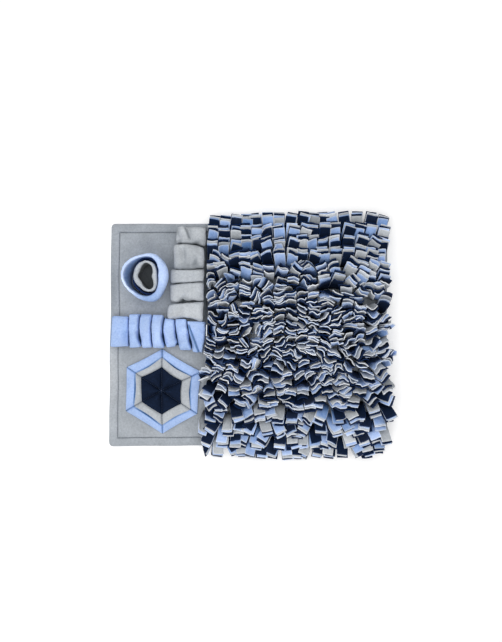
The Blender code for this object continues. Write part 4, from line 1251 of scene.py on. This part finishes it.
def hold_length(grid, free, a, b, rest, stiffness=1.0):
    """Moves the two ends of threads until each has its rest length. a and b are slices of the grid."""
    pull = grid[b] - grid[a]
    length = np.linalg.norm(pull, axis=-1, keepdims=True)
    weight_a, weight_b = free[a], free[b]
    both = np.maximum(weight_a + weight_b, 1e-9)
    move = pull * (stiffness * (length - rest) / np.maximum(length, 1e-9) / both)
    grid[a] += move * weight_a
    grid[b] -= move * weight_b


def threads(rows, columns):
    """Slices of the grid joined by threads, in groups that share no point: (start, end, stiffness)."""
    every = slice(None)
    groups = []
    for i in range(2):  # along, then across, then both diagonals
        groups.append(((every, slice(i, rows - 1, 2)), (every, slice(i + 1, rows, 2)), 1.0))
        groups.append(((every, every, slice(i, columns - 1, 2)), (every, every, slice(i + 1, columns, 2)), 1.0))
        for left, right in ((slice(0, -1), slice(1, None)), (slice(1, None), slice(0, -1))):
            groups.append(((every, slice(i, rows - 1, 2), left), (every, slice(i + 1, rows, 2), right), 0.5))
    for i in range(4):  # and stiffness against bending, from each point to the next but one
        groups.append(((every, slice(i, rows - 2, 4)), (every, slice(i + 2, rows, 4)), 0.22))
    for i in range(2):
        groups.append(((every, every, slice(i, columns - 2, 4)), (every, every, slice(i + 2, columns, 4)), 0.30))
    return groups


print("groups of threads in a strip:", len(threads(CELLS_ALONG + 1, CELLS_ACROSS + 1)))


# %% Settle the strips
def settle(grid, steps):
    """Lets the strips fall, bend and push each other aside until they lie clear of each other."""
    grid = grid.copy()
    count, rows, columns = grid.shape[:3]
    free = np.ones((count, rows, columns, 1))
    free[:, :2] = 0  # the sewn end
    groups = []
    for a, b, stiffness in threads(rows, columns):
        if grid[a].size and grid[a].shape == grid[b].shape:
            groups.append((a, b, np.linalg.norm(grid[b] - grid[a], axis=-1, keepdims=True), stiffness))
    strip_of = np.repeat(np.arange(count), rows * columns)
    root = grid[:, 0].mean(1)
    facing = directions(grid)[2][:, 0].mean(1)
    flat_free = free.reshape(-1)
    spacing = [np.linalg.norm(np.diff(grid, axis=axis), axis=-1).mean() * 0.56 for axis in (2, 1)]
    for step in range(steps):
        grid[..., 2] -= FALL * free[..., 0]
        for a, b, rest, stiffness in groups:
            hold_length(grid, free, a, b, rest, stiffness)
        flat = grid.reshape(-1, 3)
        if step % SEARCH_EVERY == 0:
            first, second = close_pairs(flat, strip_of)
            one, other = strip_of[first], strip_of[second]
            common = facing[one] + facing[other]
            side = np.sign(((root[one] - root[other]) * common).sum(1))
        across, along, out = (v.reshape(-1, 3)[second] for v in directions(grid))
        gap = flat[first] - flat[second]
        height = (gap * out).sum(1) * side
        over = (np.abs((gap * across).sum(1)) < spacing[0]) & (np.abs((gap * along).sum(1)) < spacing[1])
        short = np.where(over, np.clip(CONTACT - height, 0, MOST_PUSH), 0)
        hit = short > 0
        push = out[hit] * (side[hit] * short[hit])[:, None] / 2
        moved, times = np.zeros_like(flat), np.ones(len(flat))
        for index, sign in ((first[hit], 1), (second[hit], -1)):
            for k in range(3):
                moved[:, k] += np.bincount(index, sign * push[:, k], len(flat))
            times += np.bincount(index, minlength=len(flat))
        flat += moved / np.maximum(times - 1, 1)[:, None] * flat_free[:, None] * PUSH
        grid = keep_clear(flat.reshape(grid.shape), STRIP_THICK / 2)
        if step % TELL_EVERY == 0 or step == steps - 1:
            print("  step", step, "pairs", len(first), "touching", int(hit.sum()), "mean overlap mm:",
                  round(float(short[hit].mean()) if hit.any() else 0, 3))
    return grid


strips = keep_clear(strips, STRIP_THICK / 2)
strips = settle(strips, SETTLE_STEPS)
print("settled, highest mm:", round(float(strips[..., 2].max()), 1))

# %% [markdown]
# The settled grids are coarse, so smooth curves are drawn through their points. A strip then gets a top, an
# underside and a cut edge between them. All strips of one dye become one piece.

# %% Refine the strips and give them thickness
EDGE_PINCH = 0.75  # a cut edge is this share of the full thickness
EDGE_ANGLE = math.radians(50)  # a cut edge is sharper than this, so it isn't shaded smooth
ROOT_PAINTED_SHADE, UNSHADED_FROM = -0.62, 0.9  # painted shade: darker towards the roots, between the strips, and none from this share of the length to the tips
# Where the finer lines go, counted in coarse cells. A narrow cell at each cut edge rounds it.
LINES_ALONG = (0.0, 0.9, 1.7, 2.5, 3.3, 4.1, 4.9, 5.6, 6.3, 6.8, 7.0)
LINES_ACROSS = (0.0, 0.22, 1.15, 2.0, 2.85, 3.78, 4.0)
DYES = {LIGHT_BLUE_DYE: ("strips_light_blue", LIGHT_BLUE, "light_blue"),
        LIGHT_GREY_DYE: ("strips_light_grey", LIGHT_GREY, "light_grey"), NAVY_DYE: ("strips_navy", NAVY, "navy")}


def refined(grid, place, axis):
    """Catmull-Rom curves through the points along one axis of a grid, read at these places."""
    grid = np.moveaxis(grid, axis, 0)
    last = len(grid) - 1
    place = np.array(place, float)
    i = np.minimum(np.floor(place).astype(int), last - 1)
    t = (place - i).reshape(-1, *[1] * (grid.ndim - 1))
    ends = np.concatenate((2 * grid[:1] - grid[1:2], grid, 2 * grid[-1:] - grid[-2:-1]))
    return np.moveaxis(catmull_rom(*(ends[i + k] for k in range(4)), t), 0, axis)


def closed_strips(points, thickness):
    """Top, underside and rim of every strip: (points of each, faces of all, points in one side)."""
    count, rows, columns = points.shape[:3]
    normal = directions(points)[2]
    thin = np.ones((rows, columns))
    thin[-1, :] = EDGE_PINCH
    thin[:, 0] = thin[:, -1] = EDGE_PINCH
    half = thickness / 2 * thin[None, :, :, None]
    shell = np.concatenate(((points + normal * half).reshape(count, -1, 3),
                            (points - normal * half).reshape(count, -1, 3)), 1)
    quads = grid_faces(rows, columns)
    size = rows * columns
    index = np.arange(size).reshape(rows, columns)
    border = np.concatenate((index[0, :], index[1:, -1], index[-1, -2::-1], index[-2:0:-1, 0]))
    rim = np.stack((border, np.roll(border, -1), np.roll(border, -1) + size, border + size), 1)
    one = np.concatenate((quads, quads[:, ::-1] + size, rim[:, ::-1]))
    every = one[None] + (np.arange(count) * 2 * size)[:, None, None]
    return shell, every.reshape(-1, 4), size


strips = refined(refined(strips, LINES_ALONG, 1), LINES_ACROSS, 2)
print("lines along and across a strip:", strips.shape[1:3])

# %% Gather the strips by dye
# Where the painted highlight of a cut edge goes: full at the tip and sides, a little on the row before the tip.
edge_highlight = np.zeros(strips.shape[1:3])
edge_highlight[-1, :] = edge_highlight[1:, 0] = edge_highlight[1:, -1] = 1.0
edge_highlight[-2, :] = np.maximum(edge_highlight[-2, :], 0.25)
# Painted shade along each strip, darkest at its root and gone towards its tip.
base = np.repeat(ROOT_PAINTED_SHADE * (1 - eased(np.array(LINES_ALONG) / CELLS_ALONG / UNSHADED_FROM)), len(LINES_ACROSS))
dye_of = np.array([strip["dye"] for strip in plan])
shade_of = np.array([strip["shade"] for strip in plan])
field = []
for dye, (piece, material, slot) in DYES.items():
    chosen = np.flatnonzero(dye_of == dye)
    shell, faces, size = closed_strips(strips[chosen], STRIP_THICK)
    # Each strip's own random tone, plus the painted shade at its root.
    shade = np.repeat(shade_of[chosen], 2 * size) + np.tile(base, 2 * len(chosen))
    edge = np.tile(edge_highlight.ravel(), 2 * len(chosen))
    thing = mesh_of(piece, shell.reshape(-1, 3) * MM, faces, values={"shade": shade, "edge": edge})
    fix_normals(thing)
    thing.data.set_sharp_from_angle(angle=EDGE_ANGLE)
    thing.data.materials.append(material)
    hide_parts("strip_field")
    field.append(thing)
    print(piece, len(chosen), "strips,", triangles(thing), "triangles")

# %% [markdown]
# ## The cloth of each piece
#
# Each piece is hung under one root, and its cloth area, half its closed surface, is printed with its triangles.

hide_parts("mat")
EVERY_PIECE = [mat, hem_stitches, *cups, *loop_strips, *flower, flower_stitches, *field]
for thing in EVERY_PIECE:
    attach(thing, "root")


def half_surface(thing):
    return sum(face.area for face in thing.data.polygons) / 2


for layer, (petals, below) in enumerate(zip(flower, (mat, flower[0], flower[1]))):
    radii, bow = FLOWER[layer][2:4]
for thing in EVERY_PIECE:
    print(thing.name, "cloth area, m2:", round(half_surface(thing), 4), "triangles:", triangles(thing))

# %% [markdown]
# ## Table and light
#
# The mat lies on a plain white table in even studio light. Large soft lamps leave only weak shadows, and the
# lamp at the back and a painted highlight give the cut edges their pale line.

# %% Table and light
FLOOR_SIZE = 6.0


def floor_material():
    """A matt white table that glows a little, so it stays even and pale up to its horizon."""
    material, _, shader = new_material("white_table")
    shader.inputs["Base Color"].default_value = (0.92, 0.92, 0.92, 1)
    shader.inputs["Roughness"].default_value = 0.9
    shader.inputs["Emission Color"].default_value = (1, 1, 1, 1)
    shader.inputs["Emission Strength"].default_value = 0.25
    return material


bpy.ops.mesh.primitive_plane_add(size=FLOOR_SIZE, location=(0, 0, -0.5 * MM))
floor = bpy.context.object
floor.name = "table_top"
floor.data.materials.append(floor_material())


def soft_lamp(name, place, size, power):
    """A rectangular lamp that faces the mat's middle: place and size in metres, power in watts."""
    lamp = bpy.data.lights.new(name, "AREA")
    lamp.shape = "RECTANGLE"
    lamp.size, lamp.size_y = size
    lamp.energy = power
    thing = put_in_scene(name, lamp)
    thing.location = place
    thing.rotation_euler = (-Vector(place)).to_track_quat("-Z", "Y").to_euler()


soft_lamp("lamp_above", (-0.1, 0.1, 1.7), (2.6, 2.6), 37)
soft_lamp("lamp_back", (0.6, 1.7, 1.3), (1.4, 0.8), 3)
soft_lamp("lamp_front", (-0.45, -1.05, 1.0), (0.9, 0.6), 4.5)
world = bpy.data.worlds.new("studio")
world.use_nodes = True
sky = world.node_tree.nodes["Background"]
sky.inputs["Color"].default_value = (1, 1, 1, 1)
sky.inputs["Strength"].default_value = 0.10
bpy.context.scene.world = world
bpy.context.scene.view_settings.view_transform = "Standard"
